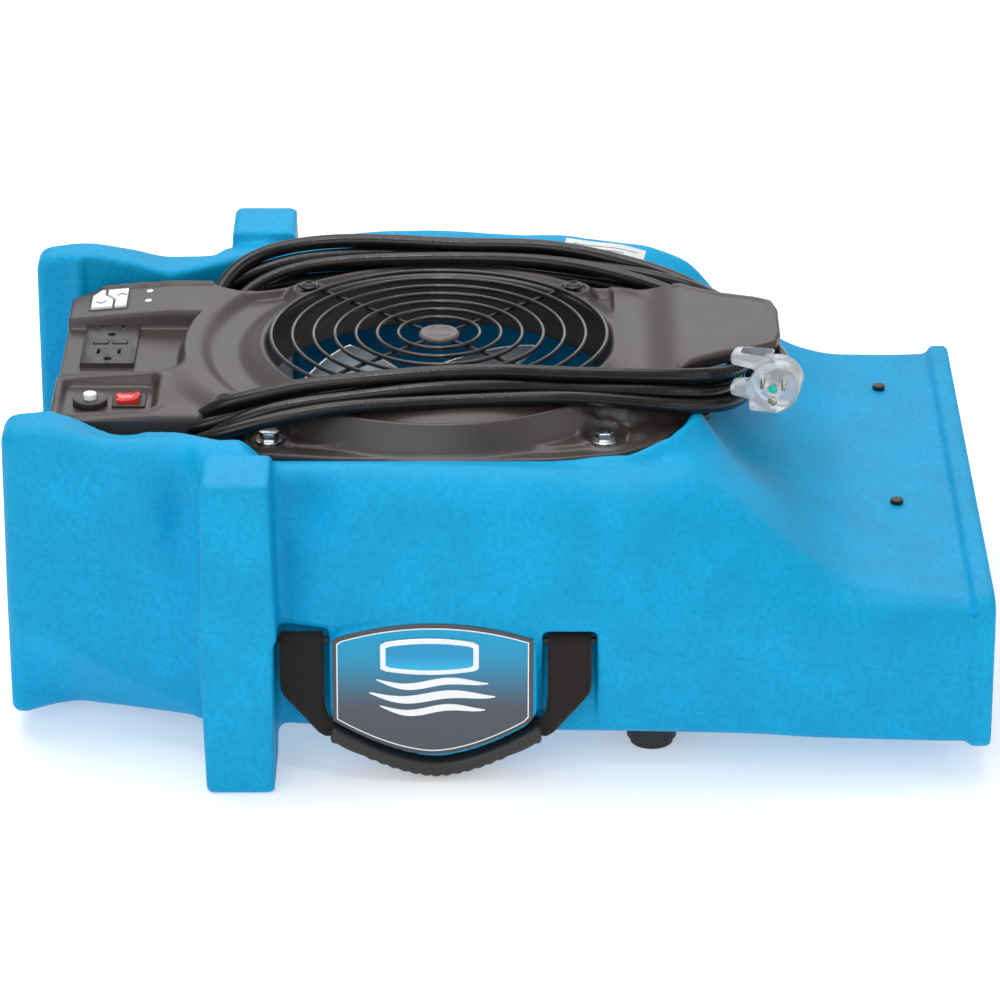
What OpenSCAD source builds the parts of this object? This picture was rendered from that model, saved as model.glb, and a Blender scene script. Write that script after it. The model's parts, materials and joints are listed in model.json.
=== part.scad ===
// Low-profile stackable air mover: blue moulded housing, black inlet cover, axial fan,
// control end with outlets and switches, wound cord with lighted plug, carry handle.
// Millimetres. X runs from the control end to the air outlet, Z is up, Z = 0 is the floor.

/* [Housing] */
// Overall length from the control end to the outlet lip
body_l = 586; // [580:1:592]
// Half width over the side ribs that stand on the floor
rib_half = 221; // [216:1:224]
// Wall thickness of the moulded housing
wall = 5; // [4:0.5:6]
// Width of a side rib at its ends
rib_w = 40; // [36:1:44]
// Width of a side rib at the parting line
rib_w_mid = 47; // [44:1:50]
// Height of a side rib
rib_h = 204; // [202:1:205]
// Place of the ribs along the body
rib_x = -151.5; // [-156:0.5:-148]

/* [Fan] */
// Place of the fan's axis along the body
fan_x = -36; // [-38:0.5:-34]
// Radius of the inlet throat
throat_r = 106; // [105:0.5:107]
// Tip radius of the fan blades
blade_r = 101; // [96:0.5:102]
// Number of fan blades
blade_n = 5; // [3:1:7]
// Radius of the fan hub
hub_r = 34; // [30:1:38]

/* [Inlet guard] */
// Number of guard rings
ring_n = 7; // [5:1:7]
// Distance between guard rings
ring_pitch = 13; // [12:0.5:13]
// Radius of the innermost ring
ring_r0 = 25; // [22:1:25]
// Wire diameter of the guard
guard_wire = 2.4; // [2:0.1:3]
// Distance of the guard screws from the fan axis
guard_screw_r = 117.4; // [116:0.2:119]

/* [Controls] */
// Width of the twin receptacle
socket_w = 33.3; // [32:0.1:34]
// Length of the twin receptacle
socket_l = 66.8; // [65:0.1:68]
// Tilt of the rocker switch from one side to the other, in degrees
rocker_swing = 14; // [10:1:16]

/* [Handle] */
// Width of the webbing straps
strap_w = 26; // [24:0.5:27]
// Thickness of the webbing
strap_t = 2.4; // [2:0.1:2.6]

/* [Power cord] */
// Diameter of the lighted plug
plug_d = 30; // [28:1:32]

/* [Hidden] */
$fn = 48;
half_l = body_l / 2;
parting_z = 95;
deck_z = 200;
deck_t = 4;
flange_z = 180;
flange_t = 4;
ledge_z = 176;
ledge_t = 8;
floor_z = 28;
run_gap = 0.05;

blue = [0.11, 0.60, 0.83];
black = [0.20, 0.19, 0.19];
steel = [0.75, 0.76, 0.78];
zinc = [0.85, 0.86, 0.88];

// ---------------------------------------------------------------- housing outline

// Stations along the body: [x, half width at the top, at the parting line, at the bottom,
// bottom height, top height, shoulder radius].
STATIONS = [
    [-half_l, 139, 150, 146, 12, 203, 8],
    [-262, 143, 155, 150, 10, 205, 10],
    [-226, 150, 160, 156, 14, 196, 12],
    [-190, 160, 172, 165, 19, 196, 14],
    [-150, 176, 186, 174, 23, 198, 18],
    [-100, 190, 198, 181, 23, 198, 22],
    [-40, 196, 203, 186, 23, 197, 28],
    [20, 196, 203, 187, 23, 193, 32],
    [60, 194, 203, 188, 23, 188, 36],
    [92, 190, 203, 189, 23, 189, 36],
    [112, 188, 203, 190, 23, 184, 36],
    [134, 188, 202, 191, 23, 169, 36],
    [160, 189, 202, 193, 23, 150, 32],
    [187, 191, 201, 195, 22, 128, 26],
    [214, 194, 200, 197, 22, 116, 18],
    [262, 196, 200, 198, 21, 113, 14],
    [278, 197, 200, 198, 21, 113, 12],
    [281, 200, 203, 201, 19, 118, 12],
    [half_l, 200, 203, 201, 19, 118, 12]
];

SHOULDER_STEPS = 4;

// One side of a cross section, from the bottom up to the top, pushed inwards by t.
function half_section(s, t) =
    let (r = max(s[6] - t, 1), top_y = s[1] - t, top_z = s[5] - t, low_y = s[3] - t, low_z = s[4] + t)
    concat(
        [[low_y - 4, low_z], [low_y, low_z + 4], [s[2] - t, min(parting_z, top_z - r - 2)]],
        [for (i = [0:SHOULDER_STEPS])
            let (a = 90 * i / SHOULDER_STEPS)
            [top_y - r + r * cos(a), top_z - r + r * sin(a)]]
    );

function ring_at(s, t, x) =
    let (right = half_section(s, t), n = len(right))
    concat(
        [for (p = right) [x, -p[0], p[1]]],
        [for (i = [n - 1:-1:0]) [x, right[i][0], right[i][1]]]
    );

// Closed skin through a list of rings that all have the same number of points.
module skin(rings) {
    m = len(rings[0]);
    k = len(rings);
    points = [for (r = rings) for (p = r) p];
    sides = [for (i = [0:k - 2]) for (j = [0:m - 1])
        let (a = i * m + j, b = i * m + (j + 1) % m, c = a + m, d = b + m)
        each [[a, b, d], [a, d, c]]];
    cap_a = [for (j = [m - 1:-1:0]) j];
    cap_b = [for (j = [0:m - 1]) (k - 1) * m + j];
    polyhedron(points, concat(sides, [cap_a, cap_b]), convexity = 8);
}

module outer_body() {
    skin([for (s = STATIONS) ring_at(s, 0, s[0])]);
}

// The air space and the electronics bay, open at the outlet end.
module inner_space() {
    last = len(STATIONS) - 1;
    skin([for (i = [0:last])
        let (s = STATIONS[i])
        ring_at(s, wall, i == 0 ? s[0] + wall : (i == last ? s[0] + 1 : s[0]))]);
}

// Pocket for the inlet cover, in plan, about the fan axis; grow pushes it outwards.
module pocket_plan(grow) {
    translate([fan_x, 0])
        polygon([
            [-248 - grow, -116 - grow], [-170 - grow, -120 - grow], [-128 - grow, -146 - grow],
            [112 + grow, -146 - grow], [137 + grow, -122 - grow], [160 + grow, -62 - grow],
            [160 + grow, 62 + grow], [137 + grow, 122 + grow], [112 + grow, 146 + grow],
            [-128 - grow, 146 + grow], [-170 - grow, 120 + grow], [-248 - grow, 116 + grow]
        ]);
}

module rib_plan(inset) {
    polygon([
        [-rib_w / 2 + inset + 3, inset], [rib_w / 2 - inset - 3, inset],
        [rib_w / 2 - inset, inset + 4], [rib_w_mid / 2 - inset, parting_z],
        [rib_w / 2 - inset, rib_h - inset - 4], [rib_w / 2 - inset - 3, rib_h - inset],
        [-rib_w / 2 + inset + 3, rib_h - inset], [-rib_w / 2 + inset, rib_h - inset - 4],
        [-rib_w_mid / 2 + inset, parting_z], [-rib_w / 2 + inset, inset + 4]
    ]);
}

rib_depth = 46;

module ribs(inset) {
    for (side = [-1, 1])
        translate([rib_x, side * (rib_half - rib_depth / 2 - inset / 2), 0])
            rotate([90, 0, 0])
                translate([0, 0, -(rib_depth - inset) / 2])
                    linear_extrude(rib_depth - inset)
                        rib_plan(inset);
}

// Badge boss: a shield with an arched top and a bowed bottom edge.
badge_x = fan_x - 1;
badge_half = 59;
badge_face_y = -206;
function arch_top(x, grow) = 93 + grow + 10 * (1 - pow(x / badge_half, 2));
function arch_low(x, grow) = 20 - grow + 23 * pow(min(abs(x) / badge_half, 1), 1.7);

module shield(grow) {
    half = badge_half + grow;
    steps = 8;
    polygon(concat(
        [for (i = [-steps:steps]) let (x = badge_half * i / steps) [half * i / steps, arch_low(x, grow)]],
        [for (i = [steps:-1:-steps]) let (x = badge_half * i / steps) [half * i / steps, arch_top(x, grow)]]
    ));
}

// Everything below the lower edge of the boss, between the straps.
module under_boss() {
    steps = 8;
    half = badge_half + 5;
    polygon(concat(
        [for (i = [-steps:steps]) let (x = half * i / steps) [x, arch_low(x, 3)]],
        [[half, -1], [-half, -1]]
    ));
}

// Lies a flat XZ outline against the near side, from depth y0 (outer face) inwards by t.
module on_front(y0, t) {
    translate([0, y0 + t, 0])
        rotate([90, 0, 0])
            linear_extrude(t)
                children();
}

strap_mid = 79;
pin_z = 90;
pin_y = -196;
pin_r = 2;

module strap_recess(side) {
    translate([fan_x + side * strap_mid - strap_w / 2 - 2.5, -212, 8])
        cube([strap_w + 5, 24, 89]);
}

bolt_x = 100;
bolt_y = 110;
bolt_r = 3;
scroll_r = 156;

module at_bolts(z) {
    for (sx = [-1, 1])
        for (sy = [-1, 1])
            translate([fan_x + sx * bolt_x, sy * bolt_y, z])
                children();
}

OUTLET_TOP = [[244, 126], [244, -53]];
OUTLET_LOW = [[244, 96], [244, -96]];
outlet_hole_r = 2.1;
duct_top_z = 115;
duct_low_z = 21;

foot_x = 93;
foot_y = 148;

module housing() {
    color(blue)
        difference() {
            union() {
                difference() {
                    union() {
                        outer_body();
                        ribs(0);
                    }
                    inner_space();
                    ribs(2 * wall);
                }
                // Walls of the pocket, and the ledge that the cover rests on.
                intersection() {
                    difference() {
                        translate([0, 0, ledge_z - ledge_t])
                            linear_extrude(60)
                                pocket_plan(wall);
                        translate([0, 0, ledge_z])
                            linear_extrude(60)
                                pocket_plan(0);
                    }
                    outer_body();
                }
                // Curved wall that keeps the air away from the electronics bay.
                intersection() {
                    translate([fan_x, 0, floor_z - 3])
                        difference() {
                            cylinder(h = ledge_z - ledge_t - floor_z + 4, r = scroll_r);
                            translate([0, 0, -1])
                                cylinder(h = 200, r = scroll_r - wall);
                            translate([-118, -200, -1])
                                cube([400, 400, 200]);
                        }
                    outer_body();
                }
                // Solid block behind the badge and the handle, with the boss in front of it.
                intersection() {
                    translate([fan_x - 104, -212, 23])
                        cube([208, 34, 78]);
                    outer_body();
                }
                translate([badge_x, 0, 0])
                    on_front(badge_face_y, 26)
                        shield(3);
                // Pads for the rubber feet and for the screws of the outlet guard.
                for (side = [-1, 1])
                    translate([foot_x, side * foot_y, 24])
                        cylinder(h = 10, r = 13);
            }
            // Opening under the cover.
            translate([fan_x, 0, 100])
                cylinder(h = 100, r = 128);
            translate([0, 0, tray_z])
                linear_extrude(100)
                    difference() {
                        intersection() {
                            pocket_plan(0);
                            translate([-400, -200])
                                square([228, 400]);
                        }
                        translate([fan_x, 0])
                            circle(scroll_r);
                    }
            translate([0, 0, ledge_z])
                linear_extrude(100)
                    pocket_plan(0);
            // Low rim at the control end.
            translate([-half_l - 1, -113, 178])
                cube([60, 226, 60]);
            at_bolts(100)
                cylinder(h = 100, r = bolt_r + 0.3);
            for (side = [-1, 1]) {
                strap_recess(side);
                translate([foot_x, side * foot_y, 10])
                    cylinder(h = 40, r = 2.5);
            }
            // Bores for the handle pins.
            translate([fan_x - 98, pin_y, pin_z])
                rotate([0, 90, 0])
                    cylinder(h = 196, r = pin_r);
            // Room under the boss for the stowed grip.
            translate([fan_x, 0, 0])
                on_front(-215, 31.5)
                    under_boss();
            // Screw holes of the outlet guard.
            for (p = OUTLET_TOP)
                translate([p[0], p[1], 90])
                    cylinder(h = 40, r = outlet_hole_r);
            for (p = OUTLET_LOW)
                translate([p[0], p[1], 5])
                    cylinder(h = 30, r = outlet_hole_r);
            // Way through for the motor lead.
            translate([fan_x - scroll_r - 10, 0, 90])
                rotate([0, 90, 0])
                    cylinder(h = 20, r = 6);
        }
}

module rubber_feet() {
    color([0.08, 0.08, 0.08])
        for (side = [-1, 1])
            translate([foot_x, side * foot_y, 0])
                difference() {
                    union() {
                        cylinder(h = 4, r = 13);
                        translate([0, 0, 4])
                            cylinder(h = 18.95, r = 15);
                    }
                    translate([0, 0, -1])
                        cylinder(h = 12, r = 6);
                    cylinder(h = 30, r = 2.5);
                }
}

module foot_screws() {
    color(zinc)
        for (side = [-1, 1])
            translate([foot_x, side * foot_y, 0]) {
                translate([0, 0, 8])
                    cylinder(h = 3, r = 4.5);
                translate([0, 0, 10.9])
                    cylinder(h = 22, r = 2.5);
            }
}

// ---------------------------------------------------------------- inlet cover

module flange_plan() {
    translate([fan_x, 0])
        polygon([
            [-146, -95], [-126, -140], [109, -140], [133, -118], [153, -60],
            [153, 60], [133, 118], [109, 140], [-126, 140], [-146, 95]
        ]);
}

platform_x0 = -267;
platform_x1 = -172;
platform_y0 = -103;
platform_y1 = 97;
platform_r = 16;

module platform_plan(inset) {
    r = platform_r - inset;
    x0 = platform_x0 + inset;
    x1 = platform_x1 - inset;
    y0 = platform_y0 + inset;
    y1 = platform_y1 - inset;
    translate([x0 + r, y0])
        square([x1 - x0 - r, y1 - y0]);
    translate([x0, y0 + r])
        square([x1 - x0, y1 - y0 - 2 * r]);
    for (y = [y0 + r, y1 - r])
        translate([x0 + r, y])
            circle(r);
}

ring_deck_r = 134;
neck_half = 84;

module neck_plan(inset) {
    translate([fan_x, 0])
        circle(ring_deck_r - inset);
    translate([-190 + inset, -neck_half + inset])
        square([120, 2 * (neck_half - inset)]);
}

// The hook at the outlet end, which holds the wound cord.
hook_x0 = 70;
hook_x1 = 172;
hook_top = 213;

module hook() {
    intersection() {
        translate([0, 120, 0])
            rotate([90, 0, 0])
                linear_extrude(240)
                    polygon([
                        [hook_x0, deck_z - deck_t], [88, deck_z - deck_t], [116, hook_top - 4.5],
                        [hook_x1, hook_top - 4.5], [hook_x1, hook_top], [114, hook_top],
                        [84, deck_z], [hook_x0, deck_z]
                    ]);
        linear_extrude(240)
            polygon([
                [60, -90], [92, -84], [122, -60], [hook_x1 - 8, -47], [hook_x1, -38],
                [hook_x1, 38], [hook_x1 - 8, 47], [122, 60], [92, 84], [60, 90]
            ]);
    }
}

channel_x1 = -192;
channel_y0 = -21;
channel_y1 = 58;
channel_floor = 188;
block_x0 = -262;
block_x1 = -206;
block_y0 = -98;
block_y1 = -48;
block_floor = 190;
skirt_low = 182;

socket_x = -239.5;
socket_y = 18.5;
breaker_x = -245;
breaker_y = -76;
rocker_x = -225;
rocker_y = -78;
key_x0 = -256;
key_x1 = -231;
key_y0 = 64;
key_y1 = 90;

module inlet_cover() {
    color(black)
        difference() {
            union() {
                translate([0, 0, flange_z - flange_t])
                    linear_extrude(flange_t)
                        flange_plan();
                // Throat that the air is drawn through.
                translate([fan_x, 0, 168])
                    cylinder(h = deck_z - 168, r = throat_r + 3);
                // Walls from the flange up to the deck.
                translate([0, 0, flange_z - 1])
                    difference() {
                        linear_extrude(deck_z - flange_z)
                            neck_plan(0);
                        translate([0, 0, -1])
                            linear_extrude(deck_z - flange_z + 2)
                                neck_plan(3);
                    }
                // Deck: the ring around the inlet, the neck and the control platform.
                translate([0, 0, deck_z - deck_t])
                    linear_extrude(deck_t)
                        union() {
                            neck_plan(0);
                            platform_plan(0);
                        }
                // Skirt of the platform.
                translate([0, 0, skirt_low])
                    difference() {
                        linear_extrude(deck_z - skirt_low - 1)
                            platform_plan(0);
                        translate([0, 0, -1])
                            linear_extrude(deck_z - skirt_low + 1)
                                platform_plan(3);
                        translate([-218, -200, -1])
                            cube([60, 400, 12]);
                    }
                // Sunken channel of the receptacle and sunken panel of the switches.
                translate([platform_x0, channel_y0 - 3, channel_floor - 3])
                    cube([channel_x1 - platform_x0 + 3, channel_y1 - channel_y0 + 6, deck_z - channel_floor + 2]);
                translate([block_x0 - 3, block_y0 - 3, block_floor - 3])
                    cube([block_x1 - block_x0 + 6, block_y1 - block_y0 + 6, deck_z - block_floor + 2]);
                // Well of the keypad.
                translate([key_x0 - 4, key_y0 - 3, 193])
                    cube([key_x1 - key_x0 + 8, key_y1 - key_y0 + 6, 5]);
                hook();
            }
            translate([fan_x, 0, 150])
                cylinder(h = 80, r = throat_r);
            translate([platform_x0 - 1, channel_y0, channel_floor])
                cube([channel_x1 - platform_x0 + 1, channel_y1 - channel_y0, 30]);
            translate([block_x0, block_y0, block_floor])
                cube([block_x1 - block_x0, block_y1 - block_y0, 30]);
            translate([socket_x - socket_w / 2 - 0.5, socket_y - socket_l / 2 - 0.5, 150])
                cube([socket_w + 1, socket_l + 1, 60]);
            translate([breaker_x, breaker_y, 150])
                cylinder(h = 60, r = 6.2);
            translate([rocker_x - 7.2, rocker_y - 10.2, 150])
                cube([14.4, 20.4, 60]);
            translate([key_x0, key_y0, 195])
                cube([key_x1 - key_x0, key_y1 - key_y0, 20]);
            for (y = [68, 84])
                translate([-219, y, 150])
                    cylinder(h = 60, r = 2.2);
            at_bolts(150)
                cylinder(h = 60, r = bolt_r + 0.3);
            for (i = [0:3])
                rotate_about_fan(45 + 90 * i)
                    translate([guard_screw_r, 0, 150])
                        cylinder(h = 60, r = 2);
        }
}

module rotate_about_fan(angle) {
    translate([fan_x, 0, 0])
        rotate([0, 0, angle])
            children();
}

module cover_washers() {
    color(zinc)
        at_bolts(flange_z)
            difference() {
                cylinder(h = 1.6, r = 8);
                translate([0, 0, -1])
                    cylinder(h = 4, r = bolt_r + 0.3);
            }
}

module cover_bolts() {
    color(zinc)
        at_bolts(0) {
            translate([0, 0, flange_z + 1.6])
                cylinder(h = 5.2, r = 6.2, $fn = 6);
            translate([0, 0, 160])
                cylinder(h = flange_z + 1.6 - 160, r = bolt_r);
        }
}

// ---------------------------------------------------------------- inlet guard

guard_z = deck_z + 5;
spoke_z = guard_z - guard_wire + 0.2;
guard_hub_r = 12.4;

module inlet_guard() {
    color([0.12, 0.12, 0.12])
        union() {
            for (i = [0:ring_n - 1])
                translate([fan_x, 0, guard_z])
                    rotate_extrude($fn = 96)
                        translate([ring_r0 + i * ring_pitch, 0])
                            circle(guard_wire / 2, $fn = 20);
            translate([fan_x, 0, spoke_z])
                cylinder(h = guard_wire + 0.6, r = guard_hub_r);
            for (i = [0:3])
                rotate_about_fan(45 + 90 * i) {
                    translate([0, 0, spoke_z])
                        rotate([0, 90, 0])
                            cylinder(h = guard_screw_r - 5.5, r = guard_wire / 2, $fn = 20);
                    translate([guard_screw_r, 0, spoke_z])
                        rotate_extrude($fn = 32)
                            translate([5.2, 0])
                                circle(guard_wire / 2, $fn = 20);
                }
        }
}

module guard_screws() {
    color([0.1, 0.1, 0.1])
        for (i = [0:3])
            rotate_about_fan(45 + 90 * i)
                translate([guard_screw_r, 0, 0]) {
                    translate([0, 0, spoke_z + guard_wire / 2])
                        cylinder(h = 2.4, r = 6);
                    translate([0, 0, 186])
                        cylinder(h = spoke_z + guard_wire / 2 - 186, r = 2);
                }
}

// ---------------------------------------------------------------- fan and motor

bracket_z = 49;
bracket_t = 3;
arm_w = 22;
bolt_reach = norm([bolt_x, bolt_y]);
bolt_angle = atan2(bolt_y, bolt_x);
ARM_ANGLES = [bolt_angle, 180 - bolt_angle, 180 + bolt_angle, -bolt_angle];
can_r = 53;
can_z = bracket_z + bracket_t;
can_h = 68;
bearing_r = 11;
bearing_h = 7;
shaft_r = 5;

// Riser and foot of one bracket arm, seen from the side.
module riser_plan() {
    top = ledge_z - ledge_t - 0.1;
    polygon([
        [bolt_reach + 5, bracket_z + 0.5], [bolt_reach + 8, bracket_z + 0.5],
        [bolt_reach + 8, top], [bolt_reach - 12, top], [bolt_reach - 12, top - bracket_t],
        [bolt_reach + 5, top - bracket_t]
    ]);
}

module motor_bracket() {
    color(steel)
        difference() {
            union() {
                translate([0, 0, bracket_z])
                    linear_extrude(bracket_t)
                        for (a = ARM_ANGLES)
                            rotate_about_fan(a)
                                union() {
                                    circle(62);
                                    translate([0, -arm_w / 2])
                                        square([bolt_reach + 7, arm_w]);
                                }
                for (a = ARM_ANGLES)
                    rotate_about_fan(a)
                        rotate([90, 0, 0])
                            translate([0, 0, -arm_w / 2 + 1])
                                linear_extrude(arm_w - 2)
                                    riser_plan();
            }
            translate([fan_x, 0, 0])
                cylinder(h = 100, r = 16);
            at_bolts(100)
                cylinder(h = 100, r = bolt_r + 0.3);
            for (i = [0:3])
                rotate_about_fan(45 + 90 * i)
                    translate([36, 0, 0])
                        cylinder(h = 100, r = 2.5);
        }
}

module motor_screws() {
    color(zinc)
        for (i = [0:3])
            rotate_about_fan(45 + 90 * i)
                translate([36, 0, 0]) {
                    translate([0, 0, bracket_z - 3.5])
                        cylinder(h = 3.5, r = 4.4);
                    translate([0, 0, bracket_z])
                        cylinder(h = bracket_t + 4, r = 2.5);
                }
}

module motor_can() {
    color([0.25, 0.26, 0.28])
        translate([fan_x, 0, can_z])
            difference() {
                union() {
                    difference() {
                        cylinder(h = can_h, r = can_r);
                        translate([0, 0, 4])
                            cylinder(h = can_h, r = can_r - 3);
                    }
                    cylinder(h = 4 + bearing_h, r = bearing_r + 3);
                }
                translate([0, 0, 4])
                    cylinder(h = 30, r = bearing_r);
                translate([0, 0, -1])
                    cylinder(h = 30, r = shaft_r + 1);
                for (i = [0:3])
                    rotate([0, 0, 45 + 90 * i])
                        translate([36, 0, -1])
                            cylinder(h = 6, r = 2.5);
                translate([-can_r - 10, 0, 38])
                    rotate([0, 90, 0])
                        cylinder(h = 20, r = 4);
            }
}

cap_z = can_z + can_h;

module motor_end_cap() {
    color([0.28, 0.29, 0.31])
        translate([fan_x, 0, cap_z])
            difference() {
                union() {
                    cylinder(h = 4, r = can_r);
                    translate([0, 0, -bearing_h + 1])
                        cylinder(h = bearing_h + 3, r = bearing_r + 3);
                }
                translate([0, 0, -bearing_h])
                    cylinder(h = bearing_h + 1, r = bearing_r);
                translate([0, 0, -1])
                    cylinder(h = 10, r = shaft_r + 1);
            }
}

module motor_bearings() {
    color(steel)
        for (z = [can_z + 4, cap_z + 1 - bearing_h])
            translate([fan_x, 0, z])
                difference() {
                    cylinder(h = bearing_h, r = bearing_r);
                    translate([0, 0, -1])
                        cylinder(h = bearing_h + 2, r = shaft_r + run_gap);
                }
}

core_z = can_z + 22;
core_h = 26;

module stator_core() {
    color([0.5, 0.5, 0.52])
        translate([fan_x, 0, core_z])
            difference() {
                cylinder(h = core_h, r = can_r - 3);
                translate([0, 0, -1])
                    cylinder(h = core_h + 2, r = 29);
            }
}

module stator_windings() {
    color([0.72, 0.42, 0.2])
        for (z = [core_z - 8, core_z + core_h])
            translate([fan_x, 0, z])
                difference() {
                    cylinder(h = 8, r = 45);
                    translate([0, 0, -1])
                        cylinder(h = 10, r = 31);
                }
}

module rotor_core() {
    color([0.6, 0.6, 0.62])
        translate([fan_x, 0, core_z])
            difference() {
                cylinder(h = core_h, r = 28.4);
                translate([0, 0, -1])
                    cylinder(h = core_h + 2, r = shaft_r);
            }
}

hub_z = 130;
hub_h = 26;

module motor_shaft() {
    color(steel)
        translate([fan_x, 0, can_z + 2])
            cylinder(h = hub_z + hub_h + 7 - can_z - 2, r = shaft_r);
}

module impeller_hub() {
    color([0.62, 0.64, 0.66])
        translate([fan_x, 0, hub_z])
            difference() {
                cylinder(h = hub_h, r = hub_r);
                translate([0, 0, -1])
                    cylinder(h = hub_h - 3, r = hub_r - 3);
                translate([0, 0, -1])
                    cylinder(h = hub_h + 2, r = shaft_r);
            }
    color([0.62, 0.64, 0.66])
        translate([fan_x, 0, hub_z + 4])
            difference() {
                cylinder(h = hub_h - 5, r = shaft_r + 5);
                translate([0, 0, -1])
                    cylinder(h = hub_h, r = shaft_r);
            }
}

// A blade is a bent sheet: it falls from its leading edge while it turns about the axis.
blade_top = 163;
blade_drop = 34;
blade_sweep = 50;
blade_t = 1.6;
BLADE_R_STEPS = 5;
BLADE_A_STEPS = 6;

function blade_point(u, v, dz) =
    let (
        r = hub_r - 1 + u * (blade_r - hub_r + 1),
        a = v * blade_sweep * (1 - 0.16 * u) + 9 * u,
        z = blade_top - 3 * (1 - u) - blade_drop * pow(v, 1.3) * (1 - 0.3 * u)
    )
    [r * cos(a), r * sin(a), z + dz];

module blade() {
    rows = [for (i = [0:BLADE_R_STEPS])
        let (u = i / BLADE_R_STEPS)
        concat(
            [for (j = [0:BLADE_A_STEPS]) blade_point(u, j / BLADE_A_STEPS, -blade_t)],
            [for (j = [BLADE_A_STEPS:-1:0]) blade_point(u, j / BLADE_A_STEPS, 0)]
        )];
    m = len(rows[0]);
    k = len(rows);
    points = [for (r = rows) for (p = r) p];
    sides = [for (i = [0:k - 2]) for (j = [0:m - 1])
        let (a = i * m + j, b = i * m + (j + 1) % m, c = a + m, d = b + m)
        each [[a, d, b], [a, c, d]]];
    cap_a = [for (j = [0:BLADE_A_STEPS - 1])
        each [[j, j + 1, m - 2 - j], [j, m - 2 - j, m - 1 - j]]];
    far = (k - 1) * m;
    cap_b = [for (t = cap_a) [far + t[0], far + t[2], far + t[1]]];
    polyhedron(points, concat(sides, cap_a, cap_b), convexity = 4);
}

module impeller_blades() {
    color([0.58, 0.60, 0.63])
        for (i = [0:blade_n - 1])
            rotate_about_fan(360 * i / blade_n + 20)
                blade();
}

module impeller_nut() {
    color(zinc)
        translate([fan_x, 0, hub_z + hub_h])
            difference() {
                cylinder(h = 5, r = 8.6, $fn = 6);
                translate([0, 0, -1])
                    cylinder(h = 7, r = shaft_r);
            }
}

// ---------------------------------------------------------------- swept tubes

// Catmull-Rom value between p1 and p2.
function spline(p0, p1, p2, p3, t) =
    0.5 * (2 * p1 + (p2 - p0) * t + (2 * p0 - 5 * p1 + 4 * p2 - p3) * t * t
        + (3 * p1 - p0 - 3 * p2 + p3) * t * t * t);

function open_path(pts, n) =
    let (last = len(pts) - 1)
    concat(
        [for (i = [0:last - 1]) for (j = [0:n - 1])
            spline(pts[max(i - 1, 0)], pts[i], pts[i + 1], pts[min(i + 2, last)], j / n)],
        [pts[last]]
    );

function loop_path(pts, n) =
    let (k = len(pts))
    [for (i = [0:k - 1]) for (j = [0:n - 1])
        spline(pts[(i + k - 1) % k], pts[i], pts[(i + 1) % k], pts[(i + 2) % k], j / n)];

function unit(v) = v / norm(v);
function place(p) = [p[0], p[1], p[2]];

// Ring of points around p: half sizes a (level, across the path) and b (upwards).
function tube_ring(p, dir, a, b, m) =
    let (side = unit(cross(dir, [0, 0, 1])), up = unit(cross(side, dir)))
    [for (j = [0:m - 1])
        let (t = 360 * j / m)
        p + side * a * cos(t) + up * b * sin(t)];

module open_tube(pts, r, n, m) {
    path = open_path(pts, n);
    last = len(path) - 1;
    skin([for (i = [0:last])
        tube_ring(path[i], unit(path[min(i + 1, last)] - path[max(i - 1, 0)]), r, r, m)]);
}

LEAD = [
    [fan_x - can_r + 1, 0, 90], [fan_x - can_r - 10, 0, 90], [-160, 0, 90],
    [-215, 0, 90], [-236, 0, 105], [-240, 0, 130], [-240, 0, 149.9]
];

module motor_lead() {
    color([0.1, 0.1, 0.1])
        open_tube_x(LEAD, 3.6, 3, 8);
}

// The same sweep for a path that lies in the XZ plane and may run straight up.
module open_tube_x(pts, r, n, m) {
    path = open_path(pts, n);
    last = len(path) - 1;
    skin([for (i = [0:last])
        let (dir = unit(path[min(i + 1, last)] - path[max(i - 1, 0)]), up = cross(dir, [0, 1, 0]))
        [for (j = [0:m - 1])
            path[i] + [0, 1, 0] * r * cos(360 * j / m) - up * r * sin(360 * j / m)]]);
}

// ---------------------------------------------------------------- electronics

tray_x0 = -263;
tray_x1 = -214.5;
tray_y0 = -99;
tray_y1 = 93;
tray_z = 150;
tray_wall = 2;
gland_x = -222.5;
gland_y = -60;
gland_turn = 45;

module electronics_tray() {
    color([0.13, 0.13, 0.13])
        difference() {
            translate([tray_x0, tray_y0, tray_z])
                cube([tray_x1 - tray_x0, tray_y1 - tray_y0, skirt_low - tray_z]);
            translate([tray_x0 + tray_wall, tray_y0 + tray_wall, tray_z + tray_wall])
                cube([tray_x1 - tray_x0 - 2 * tray_wall, tray_y1 - tray_y0 - 2 * tray_wall, 60]);
            translate([gland_x, gland_y, 165])
                rotate([0, 90, gland_turn])
                    cylinder(h = 60, r = 6, center = true);
        }
}

module control_board() {
    color([0.1, 0.4, 0.2])
        translate([-259, 57, 158]) {
            cube([36, 32, 1.6]);
            translate([6, 6, 1.6])
                cube([12, 18, 8]);
            translate([24, 8, 1.6])
                cube([6, 14, 5]);
        }
}

module run_capacitor() {
    color([0.8, 0.8, 0.82])
        translate([-236, -24, 158.6])
            rotate([90, 0, 0])
                cylinder(h = 20, r = 6);
}

socket_top = channel_floor + 3;
socket_depth = 26;
SLOT_Y = [-19.6, 19.6];
button_w = 9;
button_l = 5;
TEST_X = -6;
RESET_X = 6;

module outlet_slots() {
    for (y = SLOT_Y)
        translate([0, y, 0]) {
            for (x = [-6.35, 6.35])
                translate([x - 1.1, 1, -12])
                    cube([2.2, 8, 14]);
            translate([0, -6.5, -12])
                cylinder(h = 14, r = 2.6);
        }
}

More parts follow.
